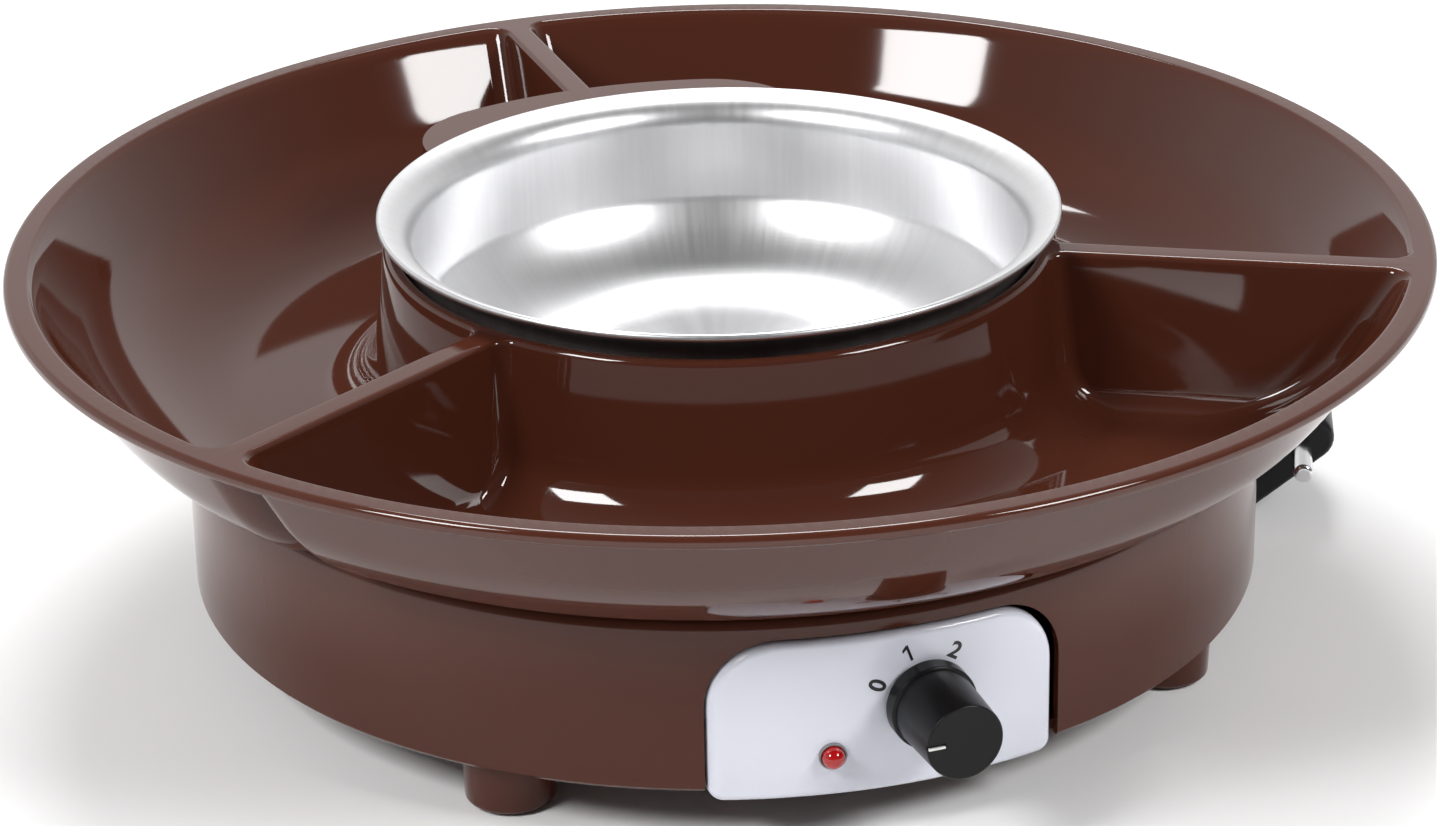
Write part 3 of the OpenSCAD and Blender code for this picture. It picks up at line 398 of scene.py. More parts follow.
def tub_shell():
    """The outside of one tub, with the wall thickness all round."""
    wall, full = TRAY_WALL, RIM_Z - TRAY_Z
    top = full - RIM_T / 2
    levels = [top * (i / SHELL_LEVELS) ** 2 for i in range(SHELL_LEVELS + 1)]
    return skin([tub_section(CAVITY_R + wall - wall_in(z, full, BOWL_LEAN, BOWL_ROUND + wall),
                             HUB_R - wall + wall_in(z, full, HUB_LEAN, HUB_ROUND + wall),
                             HALF_RIB - wall + wall_in(z, full, END_LEAN, END_ROUND + wall),
                             OUTER_CORNER + wall, INNER_CORNER + wall, TRAY_Z + z) for z in levels])


def landing(inset, z_top, z_low):
    """The landing's block, set inwards by a wall."""
    full = RIM_Z - FLOOR_Z
    levels = [full * (1 - math.cos(math.radians(90 * i / LANDING_LEVELS)))
              for i in range(LANDING_LEVELS)]
    sections = [landing_section(wall_in(0, full, HUB_LEAN, LANDING_ROUND) - inset, z_low)]
    sections += [landing_section(wall_in(z, full, HUB_LEAN, LANDING_ROUND) - inset, FLOOR_Z + z)
                 for z in levels]
    sections.append(landing_section(-inset, z_top))
    return turned(skin(sections), 90)


# Shader helpers and shared effects

FLOAT, VECTOR, COLOUR = "NodeSocketFloat", "NodeSocketVector", "NodeSocketColor"


def new_group(name, inputs, outputs):
    """An empty shader node group with named sockets."""
    group = bpy.data.node_groups.new(name, "ShaderNodeTree")
    for label, kind, default in inputs:
        socket = group.interface.new_socket(label, in_out="INPUT", socket_type=kind)
        if default is not None:
            socket.default_value = default
    for label, kind in outputs:
        group.interface.new_socket(label, in_out="OUTPUT", socket_type=kind)
    return group, group.nodes.new("NodeGroupInput").outputs, group.nodes.new("NodeGroupOutput").inputs


def fill(node, **values):
    """Sets a node's sockets; an underscore stands for the space in a socket's name."""
    for name, value in values.items():
        node.inputs[name.replace("_", " ")].default_value = value


def math_node(tree, operation, first, second, clamp=False):
    """A math node fed by sockets or numbers; gives its output."""
    node = tree.nodes.new("ShaderNodeMath")
    node.operation = operation
    node.use_clamp = clamp
    for socket, value in zip(node.inputs, (first, second)):
        if isinstance(value, bpy.types.NodeSocket):
            tree.links.new(value, socket)
        else:
            socket.default_value = value
    return node.outputs[0]


def plus(tree, first, second, clamp=False):
    """The sum of two sockets or numbers."""
    return math_node(tree, "ADD", first, second, clamp)


def times(tree, first, second, clamp=False):
    """The product of two sockets or numbers."""
    return math_node(tree, "MULTIPLY", first, second, clamp)


def axes(tree, vector):
    """A vector's X, Y and Z."""
    node = tree.nodes.new("ShaderNodeSeparateXYZ")
    tree.links.new(vector, node.inputs[0])
    return node.outputs


def flat_vector(tree, x, y):
    """A vector of two values."""
    node = tree.nodes.new("ShaderNodeCombineXYZ")
    tree.links.new(x, node.inputs["X"])
    tree.links.new(y, node.inputs["Y"])
    return node.outputs[0]


def noise(tree, vector, scale, detail, rough=0.5):
    """A noise texture; gives its factor."""
    node = tree.nodes.new("ShaderNodeTexNoise")
    fill(node, Scale=scale, Detail=detail, Roughness=rough)
    tree.links.new(vector, node.inputs["Vector"])
    return node.outputs["Fac"]


def spread(tree, value, low, high, to_low=0.0, to_high=1.0):
    """Maps a value from one range to another, clamped."""
    node = tree.nodes.new("ShaderNodeMapRange")
    fill(node, From_Min=low, From_Max=high, To_Min=to_low, To_Max=to_high)
    tree.links.new(value, node.inputs["Value"])
    return node.outputs["Result"]


def moulding_group():
    """Slow colour drift, orange peel and fine scuffs of moulded plastic."""
    tree, given, result = new_group(
        "Moulding",
        [("Vector", VECTOR, None), ("Colour", COLOUR, (0.5, 0.5, 0.5, 1)), ("Drift", FLOAT, 0.06),
         ("Roughness", FLOAT, 0.2), ("Peel", FLOAT, 0.02), ("Scuffs", FLOAT, 0.05)],
        [("Colour", COLOUR), ("Roughness", FLOAT), ("Height", FLOAT)])
    cloud = math_node(tree, "SUBTRACT", noise(tree, given["Vector"], scale=9.0, detail=4.0), 0.5)
    shade = tree.nodes.new("ShaderNodeHueSaturation")
    tree.links.new(plus(tree, times(tree, cloud, given["Drift"]), 1.0), shade.inputs["Value"])
    tree.links.new(given["Colour"], shade.inputs["Color"])
    stretch = tree.nodes.new("ShaderNodeMapping")
    fill(stretch, Scale=(900, 60, 220), Rotation=(0.3, 0.5, 0.9))
    tree.links.new(given["Vector"], stretch.inputs["Vector"])
    lines = noise(tree, stretch.outputs["Vector"], scale=1.0, detail=2.0)
    patches = noise(tree, given["Vector"], scale=23.0, detail=3.0)
    worn = times(tree, spread(tree, lines, 0.62, 0.74), spread(tree, patches, 0.5, 0.65))
    rough = plus(tree, given["Roughness"], times(tree, cloud, 0.05))
    rough = plus(tree, rough, times(tree, worn, given["Scuffs"]), clamp=True)
    peel = noise(tree, given["Vector"], scale=420.0, detail=1.0)
    slow = noise(tree, given["Vector"], scale=38.0, detail=1.0)
    height = times(tree, plus(tree, peel, times(tree, slow, 3.0)), given["Peel"])
    tree.links.new(shade.outputs["Color"], result["Colour"])
    tree.links.new(rough, result["Roughness"])
    tree.links.new(height, result["Height"])
    return tree


def dust_group():
    """Thin dust that settles on faces that look up."""
    tree, given, result = new_group(
        "Dust",
        [("Vector", VECTOR, None), ("Normal", VECTOR, None), ("Colour", COLOUR, (0.5, 0.5, 0.5, 1)),
         ("Roughness", FLOAT, 0.2), ("Amount", FLOAT, 0.03)],
        [("Colour", COLOUR), ("Roughness", FLOAT)])
    up = spread(tree, axes(tree, given["Normal"])["Z"], 0.55, 1.0)
    specks = spread(tree, noise(tree, given["Vector"], scale=700.0, detail=2.0), 0.58, 0.72)
    film = spread(tree, noise(tree, given["Vector"], scale=16.0, detail=4.0), 0.4, 0.75)
    cover = plus(tree, times(tree, specks, 0.6), times(tree, film, 0.4))
    mask = times(tree, times(tree, up, cover), given["Amount"], clamp=True)
    mix = tree.nodes.new("ShaderNodeMix")
    mix.data_type = "RGBA"
    tree.links.new(mask, mix.inputs["Factor"])
    tree.links.new(given["Colour"], mix.inputs["A"])
    mix.inputs["B"].default_value = (0.55, 0.52, 0.48, 1)
    tree.links.new(mix.outputs["Result"], result["Colour"])
    tree.links.new(plus(tree, given["Roughness"], mask, clamp=True), result["Roughness"])
    return tree


def spun_group():
    """Rings left by spinning or turning about the model's upright axis, with short streaks in the
    roughness; the same streaks dim the colour as a painted sheen.
    """
    tree, given, result = new_group(
        "Spun rings",
        [("Vector", VECTOR, None), ("Roughness", FLOAT, 0.3), ("Rings", FLOAT, 1.0)],
        [("Roughness", FLOAT), ("Height", FLOAT), ("Shade", FLOAT)])
    place = axes(tree, given["Vector"])
    radius = tree.nodes.new("ShaderNodeVectorMath")
    radius.operation = "LENGTH"
    tree.links.new(flat_vector(tree, place["X"], place["Y"]), radius.inputs[0])
    ring_at = flat_vector(tree, radius.outputs["Value"], place["Z"])
    fine = noise(tree, ring_at, scale=2600.0, detail=2.0, rough=0.6)
    broad = noise(tree, ring_at, scale=260.0, detail=2.0)
    around = math_node(tree, "ARCTAN2", place["Y"], place["X"])
    streak_at = flat_vector(tree, times(tree, around, 24.0), times(tree, place["Z"], 18.0))
    streaks = noise(tree, streak_at, scale=1.6, detail=5.0, rough=0.62)
    uneven = times(tree, math_node(tree, "SUBTRACT", streaks, 0.5), 0.12)
    height = plus(tree, times(tree, fine, 0.6), times(tree, broad, 0.6))
    tree.links.new(plus(tree, given["Roughness"], uneven, clamp=True), result["Roughness"])
    tree.links.new(times(tree, height, given["Rings"]), result["Height"])
    # Shade is painted sheen: the colour is dimmed in streaks that run up the walls and out from the
    # middle, standing in for the highlights of the spun grain.
    tree.links.new(spread(tree, streaks, 0.3, 0.7, 0.94, 1.0), result["Shade"])
    return tree


# Materials

GROUPS = {}
MATERIALS = {}


def group_node(tree, name, coords, **values):
    """One of the shared effects, placed in a material with its own values."""
    node = tree.nodes.new("ShaderNodeGroup")
    node.node_tree = GROUPS[name]
    tree.links.new(coords, node.inputs["Vector"])
    fill(node, **values)
    return node


def bare_material(name):
    """A material with only a Principled shader; gives the material and the shader."""
    mat = bpy.data.materials.new(name)
    mat.use_nodes = True
    return mat, mat.node_tree.nodes["Principled BSDF"]


def object_space(tree):
    """Coordinates in the piece's own space."""
    return tree.nodes.new("ShaderNodeTexCoord").outputs["Object"]


def feed(tree, shader, colour, roughness, height, distance):
    """Feeds a colour, a roughness and a height into the shader."""
    tree.links.new(colour, shader.inputs["Base Color"])
    tree.links.new(roughness, shader.inputs["Roughness"])
    node = tree.nodes.new("ShaderNodeBump")
    fill(node, Distance=distance)
    tree.links.new(height, node.inputs["Height"])
    tree.links.new(node.outputs["Normal"], shader.inputs["Normal"])


def plastic(name, colour, roughness, drift=0.06, peel=0.02, scuffs=0.05, dust=0.02, coat=0.0,
            ior=1.5, distance=0.0002):
    """A moulded plastic or rubber."""
    mat, shader = bare_material(name)
    tree = mat.node_tree
    coords = object_space(tree)
    group = group_node(tree, "moulding", coords, Colour=(*colour, 1), Drift=drift,
                       Roughness=roughness, Peel=peel, Scuffs=scuffs)
    settle = group_node(tree, "dust", coords, Amount=dust)
    tree.links.new(tree.nodes.new("ShaderNodeNewGeometry").outputs["Normal"], settle.inputs["Normal"])
    tree.links.new(group.outputs["Colour"], settle.inputs["Colour"])
    tree.links.new(group.outputs["Roughness"], settle.inputs["Roughness"])
    fill(shader, IOR=ior, Coat_Weight=coat, Coat_Roughness=0.04)
    feed(tree, shader, settle.outputs["Colour"], settle.outputs["Roughness"], group.outputs["Height"],
         distance)
    return mat


def metal(name, colour, roughness, rings=1.0):
    """A bare metal with turned or spun rings, its colour dimmed in streaks of painted sheen."""
    mat, shader = bare_material(name)
    tree = mat.node_tree
    group = group_node(tree, "spun", object_space(tree), Roughness=roughness, Rings=rings)
    tint = tree.nodes.new("ShaderNodeHueSaturation")
    fill(tint, Color=(*colour, 1))
    # The colour is dimmed by the group's Shade, which is painted sheen in streaks.
    tree.links.new(group.outputs["Shade"], tint.inputs["Value"])
    fill(shader, Metallic=1.0)
    feed(tree, shader, tint.outputs["Color"], group.outputs["Roughness"], group.outputs["Height"],
         distance=0.00002)
    return mat


def clear_lens(colour):
    """Clear red plastic with a lighter heart."""
    mat, shader = bare_material("Red lens")
    tree = mat.node_tree
    group = group_node(tree, "moulding", object_space(tree), Colour=(*colour, 1), Roughness=0.08,
                       Peel=0.01)
    fill(shader, Subsurface_Weight=0.12, Subsurface_Radius=(1.0, 0.1, 0.05), Subsurface_Scale=0.002,
         Coat_Weight=0.6)
    feed(tree, shader, group.outputs["Colour"], group.outputs["Roughness"], group.outputs["Height"],
         distance=0.0001)
    return mat


def build_materials(colours, finish):
    """Makes the shared effects and every material."""
    GROUPS.update(moulding=moulding_group(), dust=dust_group(), spun=spun_group())
    brown, black = tuple(colours.brown), tuple(colours.black)
    MATERIALS.update(
        tray_brown=plastic("Glossy brown tray", brown, finish.gloss, drift=0.08, peel=0.005,
                           dust=0.01, ior=1.48),
        base_brown=plastic("Glossy brown base", brown, finish.gloss + 0.06, drift=0.08, peel=0.02,
                           dust=0.01, ior=1.36),
        cover_brown=plastic("Matte brown cover", tuple(c * 0.8 for c in brown), 0.5, peel=0.06),
        panel_white=plastic("Glossy white panel", tuple(colours.panel), 0.16, drift=0.02, peel=0.006,
                            scuffs=0.03, dust=0.0, coat=0.2),
        knob_black=plastic("Black knob", black, 0.3, peel=0.1, distance=0.0003, dust=0.0, ior=1.3),
        lens_red=clear_lens(tuple(colours.lens)),
        bezel_grey=plastic("Grey bezel", (0.2, 0.2, 0.21), 0.35, peel=0.02),
        pot_aluminium=metal("Satin aluminium", tuple(colours.aluminium), finish.satin),
        plate_aluminium=metal("Turned plate", (0.62, 0.62, 0.63), 0.34, rings=2.5),
        plated_steel=metal("Plated steel", (0.62, 0.63, 0.65), 0.3),
        dark_steel=metal("Heat-darkened steel", (0.2, 0.19, 0.19), 0.42),
        bright_sheet=metal("Bright sheet", (0.72, 0.73, 0.74), 0.26, rings=1.5),
        pin_metal=metal("Nickel-plated pins", (0.76, 0.76, 0.77), 0.16, rings=0.4),
        brass=metal("Brass", (0.7, 0.5, 0.22), 0.3),
        black_moulding=plastic("Black moulding", (0.02, 0.02, 0.022), 0.5, peel=0.05),
        cream=plastic("Cream insulator", (0.72, 0.66, 0.54), 0.55, peel=0.05),
        sleeve=plastic("Red-brown sleeve", (0.22, 0.03, 0.018), 0.5, peel=0.03),
        rubber=plastic("Black rubber", (0.014, 0.014, 0.014), 0.7, peel=0.1),
        cord_black=plastic("Black sheath", black, 0.48, peel=0.05, dust=0.03),
        plug_black=plastic("Black plug", black, 0.3, peel=0.06, distance=0.0003, dust=0.01, ior=1.35),
        print_black=plastic("Printed ink", (0.01, 0.01, 0.011), 0.4, drift=0.02, peel=0.01, dust=0.0),
        print_white=plastic("White line", (0.72, 0.72, 0.7), 0.5, drift=0.05, peel=0.02, dust=0.0),
    )


# Camera and materials

class FONDUE_OT_camera(bpy.types.Operator):
    """Adds the camera at the photograph's angle"""
    bl_idname = "fondue.camera"
    bl_label = "Camera"

    def execute(self, context):
        position = Vector(CAMERA_AT)
        camera = linked_object("camera", bpy.data.cameras.new("camera"))
        camera.data.lens = CAMERA_LENS
        camera.data.sensor_width = CAMERA_SENSOR
        camera.data.clip_start = 0.05
        look = (Vector(CAMERA_TARGET) - position).to_track_quat("-Z", "Y").to_matrix().to_4x4()
        roll = Matrix.Rotation(math.radians(CAMERA_ROLL), 4, "Z")
        camera.matrix_world = Matrix.Translation(position) @ look @ roll
        context.scene.camera = camera
        return {"FINISHED"}


class FONDUE_OT_materials(bpy.types.Operator):
    """Makes the finishes that the pieces share"""
    bl_idname = "fondue.materials"
    bl_label = "Materials"

    def execute(self, context):
        build_materials(context.scene.fondue_colours, context.scene.fondue_finish)
        return {"FINISHED"}


# Mains lead and plug

def coil_point(u):
    """A point of the coil after u turns; it climbs to its upper layer half way."""
    x, y = polar(COIL_OUT_R - COIL_PITCH * min(u, COIL_TURNS - u), 90 - 360 * u)
    s = min(1.0, max(0.0, (u - (COIL_TURNS - COIL_CLIMB) / 2) / COIL_CLIMB))
    return (COIL_CENTRE[0] + x, COIL_CENTRE[1] + y, LEAD_REST_Z + COIL_PITCH * s * s * (3 - 2 * s))


def smooth_route(points, step=0.0025):
    """A smooth curve through the points, as many short straight stretches."""
    pts = [Vector(p) for p in points]
    pts = [pts[0] * 2 - pts[1]] + pts + [pts[-1] * 2 - pts[-2]]
    out = []
    for i in range(1, len(pts) - 2):
        p0, p1, p2, p3 = pts[i - 1:i + 3]
        n = max(2, int((p2 - p1).length / step))
        for k in range(n):
            t = k / n
            out.append(0.5 * ((2 * p1) + (p2 - p0) * t + (2 * p0 - 5 * p1 + 4 * p2 - p3) * t * t
                              + (3 * p1 - p0 - 3 * p2 + p3) * t ** 3))
    out.append(pts[-2])
    return [tuple(p) for p in out]


def lead_points():
    """The whole lead: first stretch, coil and last stretch as one line."""
    coil = [coil_point(i / COIL_STEPS) for i in range(COIL_TURNS * COIL_STEPS + 1)]
    first = smooth_route(LEAD_ROUTE + [coil[0]])
    last = smooth_route([coil[-1]] + TAIL_ROUTE)
    return first[:-1] + coil + last[1:]


def lead_object(points, diameter):
    """The lead as a round curve through the points."""
    curve = bpy.data.curves.new("mains_lead", "CURVE")
    curve.dimensions = "3D"
    spline = curve.splines.new("POLY")
    spline.points.add(len(points) - 1)
    for point, p in zip(spline.points, points):
        point.co = (*p, 1)
    spline.use_smooth = True
    curve.bevel_depth = diameter / 2
    curve.bevel_resolution = 5
    curve.use_fill_caps = True
    curve.twist_mode = "MINIMUM"
    curve.materials.append(MATERIALS["cord_black"])
    return linked_object("mains_lead", curve)


def plug_matrix():
    """Places the plug: local X along its width, local Y from its boot to its pins."""
    end, before = Vector(TAIL_ROUTE[-1]), Vector(TAIL_ROUTE[-2])
    way = end - before
    turn = math.atan2(way.y, way.x) - math.pi / 2
    return (Matrix.Translation(end / MM) @ Matrix.Rotation(turn, 4, "Z")
            @ Matrix.Rotation(math.radians(PLUG_ROLL), 4, "Y"))


def rounded_rectangle(half_w, half_h, corner, steps=6):
    """Outline of a rounded rectangle about zero."""
    out = []
    for cx, cy, start in ((1, 1, 0), (-1, 1, 90), (-1, -1, 180), (1, -1, 270)):
        out += arc(cx * (half_w - corner), cy * (half_h - corner), corner, start, start + 90, steps)
    return out


def plug_boot():
    """The tapered boot with its ribs, from the lead to the plug's body."""
    ribs, first, pitch, rib_long = 5, 1.6, 3.7, 1.9
    rib_r, grows, groove = 4.25, 0.2, 0.75
    root_r, end_r, end = 4.2, 5.4, 20.4
    profile = [(0.0, 0.0), (root_r - 0.3, 0.0), (root_r, 0.4)]
    for k in range(ribs):
        r = rib_r + grows * k
        y = first + pitch * k
        profile += [(r, y), (r, y + rib_long), (r - groove, y + rib_long + 0.2),
                    (r - groove + 0.05, y + pitch - 0.2)]
    profile += [(end_r, end), (0.0, end)]
    return laid_along_y(revolve(profile, 40))


def build_plug():
    """The plug's body with its waist, finger rest and tapered boot."""
    rings = [[(x, y, z) for x, z in rounded_rectangle(half_w, half_h, corner)]
             for y, half_w, half_h, corner in PLUG_STATIONS]
    n = len(rings[0])
    ends = [list(range(n)), [(len(rings) - 1) * n + i for i in range(n)]]
    body = [point for ring in rings for point in ring], ring_faces(n, len(rings)) + ends
    return add_piece("plug", placed(joined([body, plug_boot()]), plug_matrix()), "base",
                     ["plug_body"], "plug_black", sharp=40)


def build_pins():
    """Two round pins with rounded tips."""
    profile = [(0.0, PIN_ROOT), (PIN_R, PIN_ROOT)]
    profile += arc(PIN_R - PIN_ROUND, PIN_END - PIN_ROUND, PIN_ROUND, 0, 90, 6) + [(0.0, PIN_END)]
    pin = revolve(profile, 36)
    pins = joined([laid_along_y(pin, x=side * PIN_APART) for side in (-1, 1)])
    return add_piece("plug_pin_pair", placed(pins, plug_matrix()), "base",
                     ["plug_pins"], "pin_metal")


def build_strain_relief():
    """The ribbed bush in the back wall."""
    start, end, ribs = 128.46, 156.0, 5
    back, flange_end, wall_out = 120.6, 122.6, 126.06
    flange_r, neck_r, collar_r, taper = 6.8, 5.2, 8.0, 1.3
    profile = [(0.0, back), (flange_r, back), (flange_r, flange_end), (neck_r, flange_end),
               (neck_r, wall_out), (7.6, wall_out), (collar_r, 126.5), (collar_r, 127.4), (7.0, start)]
    step = (end - start) / (2 * ribs + 1)
    for k in range(ribs):
        r = neck_r - taper * (2 * k) / (2 * ribs + 1)
        y = start + 2 * k * step
        profile += [(r, y), (r - 0.15, y + step),
                    (r - 0.9, y + step + 0.2), (r - 1.0, y + 2 * step - 0.2)]
    profile += [(4.0, end - step), (3.85, end), (0.0, end)]
    height = LEAD_ROUTE[0][2] / MM
    add_piece("cord_strain_relief", laid_along_y(revolve(profile, 48), z=height), "base",
              ["strain_relief"], "cord_black")


class FONDUE_OT_lead(bpy.types.Operator):
    """Adds the mains lead with its coil, the strain relief and the plug"""
    bl_idname = "fondue.lead"
    bl_label = "Mains lead and plug"

    def execute(self, context):
        plug = build_plug()
        pins = build_pins()
        build_strain_relief()
        points = lead_points()
        d = context.scene.fondue_lead.diameter
        lead = lead_object(points, d)
        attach(lead, "base")
        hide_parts("cord_lead", "cord_coil", "cord_tail")
        return {"FINISHED"}


# Serving tray and melting pot

def rim_profile():
    """Half outline of the tray's rim plate, with the collar round the hub's hole."""
    low, collar_low = RIM_Z - RIM_T, RIM_Z - COLLAR_H
    hole_edge, hole_bevel = 1.0, 0.3
    collar_r = HUB_HOLE_R + TRAY_WALL
    profile = [(HUB_HOLE_R, collar_low), (collar_r, collar_low), (collar_r, low)]
    profile += arc(TRAY_R - RIM_EDGE, low + RIM_EDGE, RIM_EDGE, -90, 0)
    profile += arc(TRAY_R - RIM_EDGE, RIM_Z - RIM_EDGE, RIM_EDGE, 0, 90)
    return profile + [(HUB_HOLE_R + hole_edge, RIM_Z), (HUB_HOLE_R + hole_bevel, RIM_Z - hole_bevel),
                      (HUB_HOLE_R, RIM_Z - hole_edge)]


class FONDUE_OT_tray(bpy.types.Operator):
    """Adds the three-tub serving tray"""
    bl_idname = "fondue.tray"
    bl_label = "Serving tray"

    def execute(self, context):
        piece = mesh_object("tray", revolve(rim_profile(), 288))
        shells = mesh_object("shells", joined([turned(tub_shell(), a) for a in TUB_TURNS]))
        boolean(piece, shells, "UNION")
        hollows = mesh_object("hollows", joined([turned(tub_cavity(), a) for a in TUB_TURNS]))
        block = mesh_object("landing", landing(0, RIM_Z + PAST, FLOOR_Z - PAST))
        boolean(hollows, block, "DIFFERENCE")
        boolean(piece, hollows, "DIFFERENCE")
        under = mesh_object("under", landing(TRAY_WALL, RIM_Z - TRAY_WALL, TRAY_Z - PAST))
        boolean(piece, under, "DIFFERENCE")
        clean_mesh(piece.data, merge=2e-6)
        finish_piece(piece, "tray", ["serving_tray"], "tray_brown", sharp=42)
        weighted = piece.modifiers.new("normals", "WEIGHTED_NORMAL")
        weighted.keep_sharp = True
        weighted.weight = 60
        return {"FINISHED"}


def pot_side(grow):
    """Floor, bowl and flare of the pot from its middle outwards; grow is 0 inside, the wall outside."""
    floor_z = POT_Z + POT_WALL - grow
    bend = -math.degrees(math.asin((POT_BOWL - POT_BEND_H) / POT_BOWL))
    flat = POT_BORE - POT_BOWL * math.cos(math.radians(bend))
    flare = POT_R - POT_BORE - POT_WALL
    side = [(flat * k / 8, floor_z) for k in range(8)]
    side += arc(flat, POT_Z + POT_WALL + POT_BOWL, POT_BOWL + grow, -90, bend, 20)
    return side + arc(POT_BORE + flare, POT_TOP - POT_FLARE_H, flare - grow, 180, 118, 12)


class FONDUE_OT_pot(bpy.types.Operator):
    """Adds the spun melting pot"""
    bl_idname = "fondue.pot"
    bl_label = "Melting pot"

    def execute(self, context):
        bead = arc(POT_R - POT_BEAD, POT_TOP - POT_BEAD, POT_BEAD, 90, -90, 10)
        profile = pot_side(0) + bead + pot_side(POT_WALL)[::-1]
        add_piece("pot", revolve(profile, 224, closed=False), "pot",
                  ["melting_pot"], "pot_aluminium", sharp=60)
        return {"FINISHED"}


# Base, feet and panel

def corner_drop(radius, side):
    """How far a round corner falls away from its straight edge, at that distance from the side."""
    if side >= radius:
        return 0
    return radius - math.sqrt(max(0, radius ** 2 - (radius - side) ** 2))


def panel_ring(inset, radius):
    """Points round the panel's outline, set inwards, on the cylinder of that radius."""
    x0, x1 = PANEL_LEFT + inset, PANEL_RIGHT - inset
    low_round, top_round = max(0.3, PANEL_LOW_ROUND - inset), max(0.3, PANEL_TOP_ROUND - inset)
    crowding = 0.92
    upper, lower = [], []
    for i in range(PANEL_STEPS + 1):
        s = i / PANEL_STEPS
        x = x0 + (x1 - x0) * (s - crowding * math.sin(2 * math.pi * s) / (2 * math.pi))
        y = -math.sqrt(radius ** 2 - x ** 2)
        side = min(x - x0, x1 - x)
        upper.append((x, y, PANEL_HIGH - inset - corner_drop(top_round, side)))
        lower.append((x, y, PANEL_LOW + inset + corner_drop(low_round, side)))
    return upper + lower[::-1]


def build_panel():
    """The curved white panel with rounded edges."""
    rings = [panel_ring(0, PANEL_BACK_R), panel_ring(0, PANEL_R - PANEL_EDGE)]
    for angle in (18, 36, 54, 72, 90):
        a = math.radians(angle)
        rings.append(panel_ring(PANEL_EDGE * (1 - math.cos(a)),
                                PANEL_R - PANEL_EDGE + PANEL_EDGE * math.sin(a)))
    add_piece("panel", skin(rings), "base", ["control_panel"], "panel_white", sharp=50)


def panel_opening():
    """Cutter for the panel's opening, wider at the right and open below."""
    clearance, right_gap, drop = 0.7, 1.6, 4.0
    behind, before = -112.0, -135.0
    low_part = PANEL_LOW + PANEL_LOW_ROUND
    outline = [(x + (right_gap if x > 0 else 0), z if z > low_part else z - drop)
               for x, y, z in panel_ring(-clearance, PANEL_R)]
    return skin([[(x, y, z) for x, z in outline] for y in (behind, before)])


def build_base():
    """The base's side wall, lip, deck and heater well, with the panel's opening."""
    edge, foot_edge, lip = 2.5, 0.8, 2.7
    in_r, deck_under = BASE_R - BASE_WALL, DECK_Z - BASE_WALL
    profile = [(BASE_R - foot_edge, FOOT_H), (BASE_R, FOOT_H + foot_edge)]
    profile += arc(BASE_R - edge, BASE_TOP - edge, edge, 0, 90, 10)
    profile += [(BASE_R - lip, BASE_TOP), (BASE_R - lip - 1.4, DECK_Z), (WELL_R + 0.6, DECK_Z),
                (WELL_R, DECK_Z - 0.6), (WELL_R, deck_under), (in_r, deck_under), (in_r, FOOT_H)]
    piece = mesh_object("base", revolve(profile, 256))
    boolean(piece, mesh_object("opening", panel_opening()), "DIFFERENCE")
    finish_piece(piece, "base", ["base_shell"], "base_brown")


def build_feet():
    """Four tapered feet with rounded lower edges and a recess for the pad."""
    hole_r, pad_r, pad_top, pad_edge = 4.6, 7.5, 2.2, 0.3
    low_r, low_z, low_round, top_r = 10.2, 0.6, 1.4, 10.7
    profile = [(hole_r, FOOT_H), (hole_r, pad_top), (pad_r, pad_top), (pad_r, low_z + pad_edge),
               (pad_r + pad_edge, low_z)]
    profile += arc(low_r - low_round, low_z + low_round, low_round, -90, -5, 8) + [(top_r, FOOT_H)]
    foot = revolve(profile, 64)
    places = [Matrix.Translation((*polar(FOOT_AT, 45 + 90 * k), 0)) for k in range(4)]
    feet = joined([placed(foot, place) for place in places])
    add_piece("feet_moulded", feet, "base", ["feet"], "base_brown", sharp=40)


class FONDUE_OT_base(bpy.types.Operator):
    """Adds the base, its feet and the control panel"""
    bl_idname = "fondue.base"
    bl_label = "Base, feet and panel"

    def execute(self, context):
        build_base()
        build_feet()
        build_panel()
        return {"FINISHED"}


# Knob, indicator and numbers

def knob_profile():
    """Half outline of the knob: bore, hollow skirt, tapered grip and a face inside a low lip."""
    bore_r, bore_end = 3.06, 16.6
    hollow_r, hollow_end = 7.6, 3.9
    skirt_r, skirt_z, skirt_round = 9.8, 3.7, 0.5
    grip_r, waist_r, end_r = 9.1, 8.9, 8.6
    lip_round, lip_z, face_r = 0.45, 20.05, 7.6
    profile = [(0.0, bore_end), (bore_r, bore_end), (bore_r, hollow_end), (hollow_r, hollow_end),
               (hollow_r, 0.3), (hollow_r + 0.3, 0.0), (skirt_r - 0.3, 0.0), (skirt_r, 0.4),
               (skirt_r, skirt_z - skirt_round)]
    profile += arc(skirt_r - skirt_round, skirt_z, skirt_round, 0, 90, 5)
    profile += [(grip_r + 0.05, 4.25), (grip_r, 4.6), (waist_r, 12.0), (end_r, 19.9)]
    profile += arc(end_r - lip_round, lip_z, lip_round, 0, 90, 6)
    return profile + [(face_r, KNOB_FACE), (0.0, KNOB_FACE)]


def knob_place(unit):
    """Matrix that stands the knob out of the panel, in lengths of that unit."""
    return (Matrix.Translation((0, KNOB_BACK * unit, KNOB_Z * unit))
            @ Matrix.Rotation(math.pi / 2, 4, "X"))


def build_knob():
    """The knob, with a stepped skirt, a tapered grip and a slot with a white line on its end."""
    knob = mesh_object("knob", revolve(knob_profile(), 96, closed=False))
    slot = box((-11, SLOT_END), (SLOT_LOW, 0.75), (19.7, 22))
    boolean(knob, mesh_object("slot", slot), "DIFFERENCE")
    knob.data.transform(knob_place(MM))
    finish_piece(knob, "knob", ["control_knob"], "knob_black", sharp=30)
    line = box((-8.2, SLOT_END - 0.1), (SLOT_LOW, 0.0), (19.9, KNOB_FACE + 0.04))
    add_piece("knob_line", placed(line, knob_place(1)), "knob", [], "print_white",
              smooth=False)


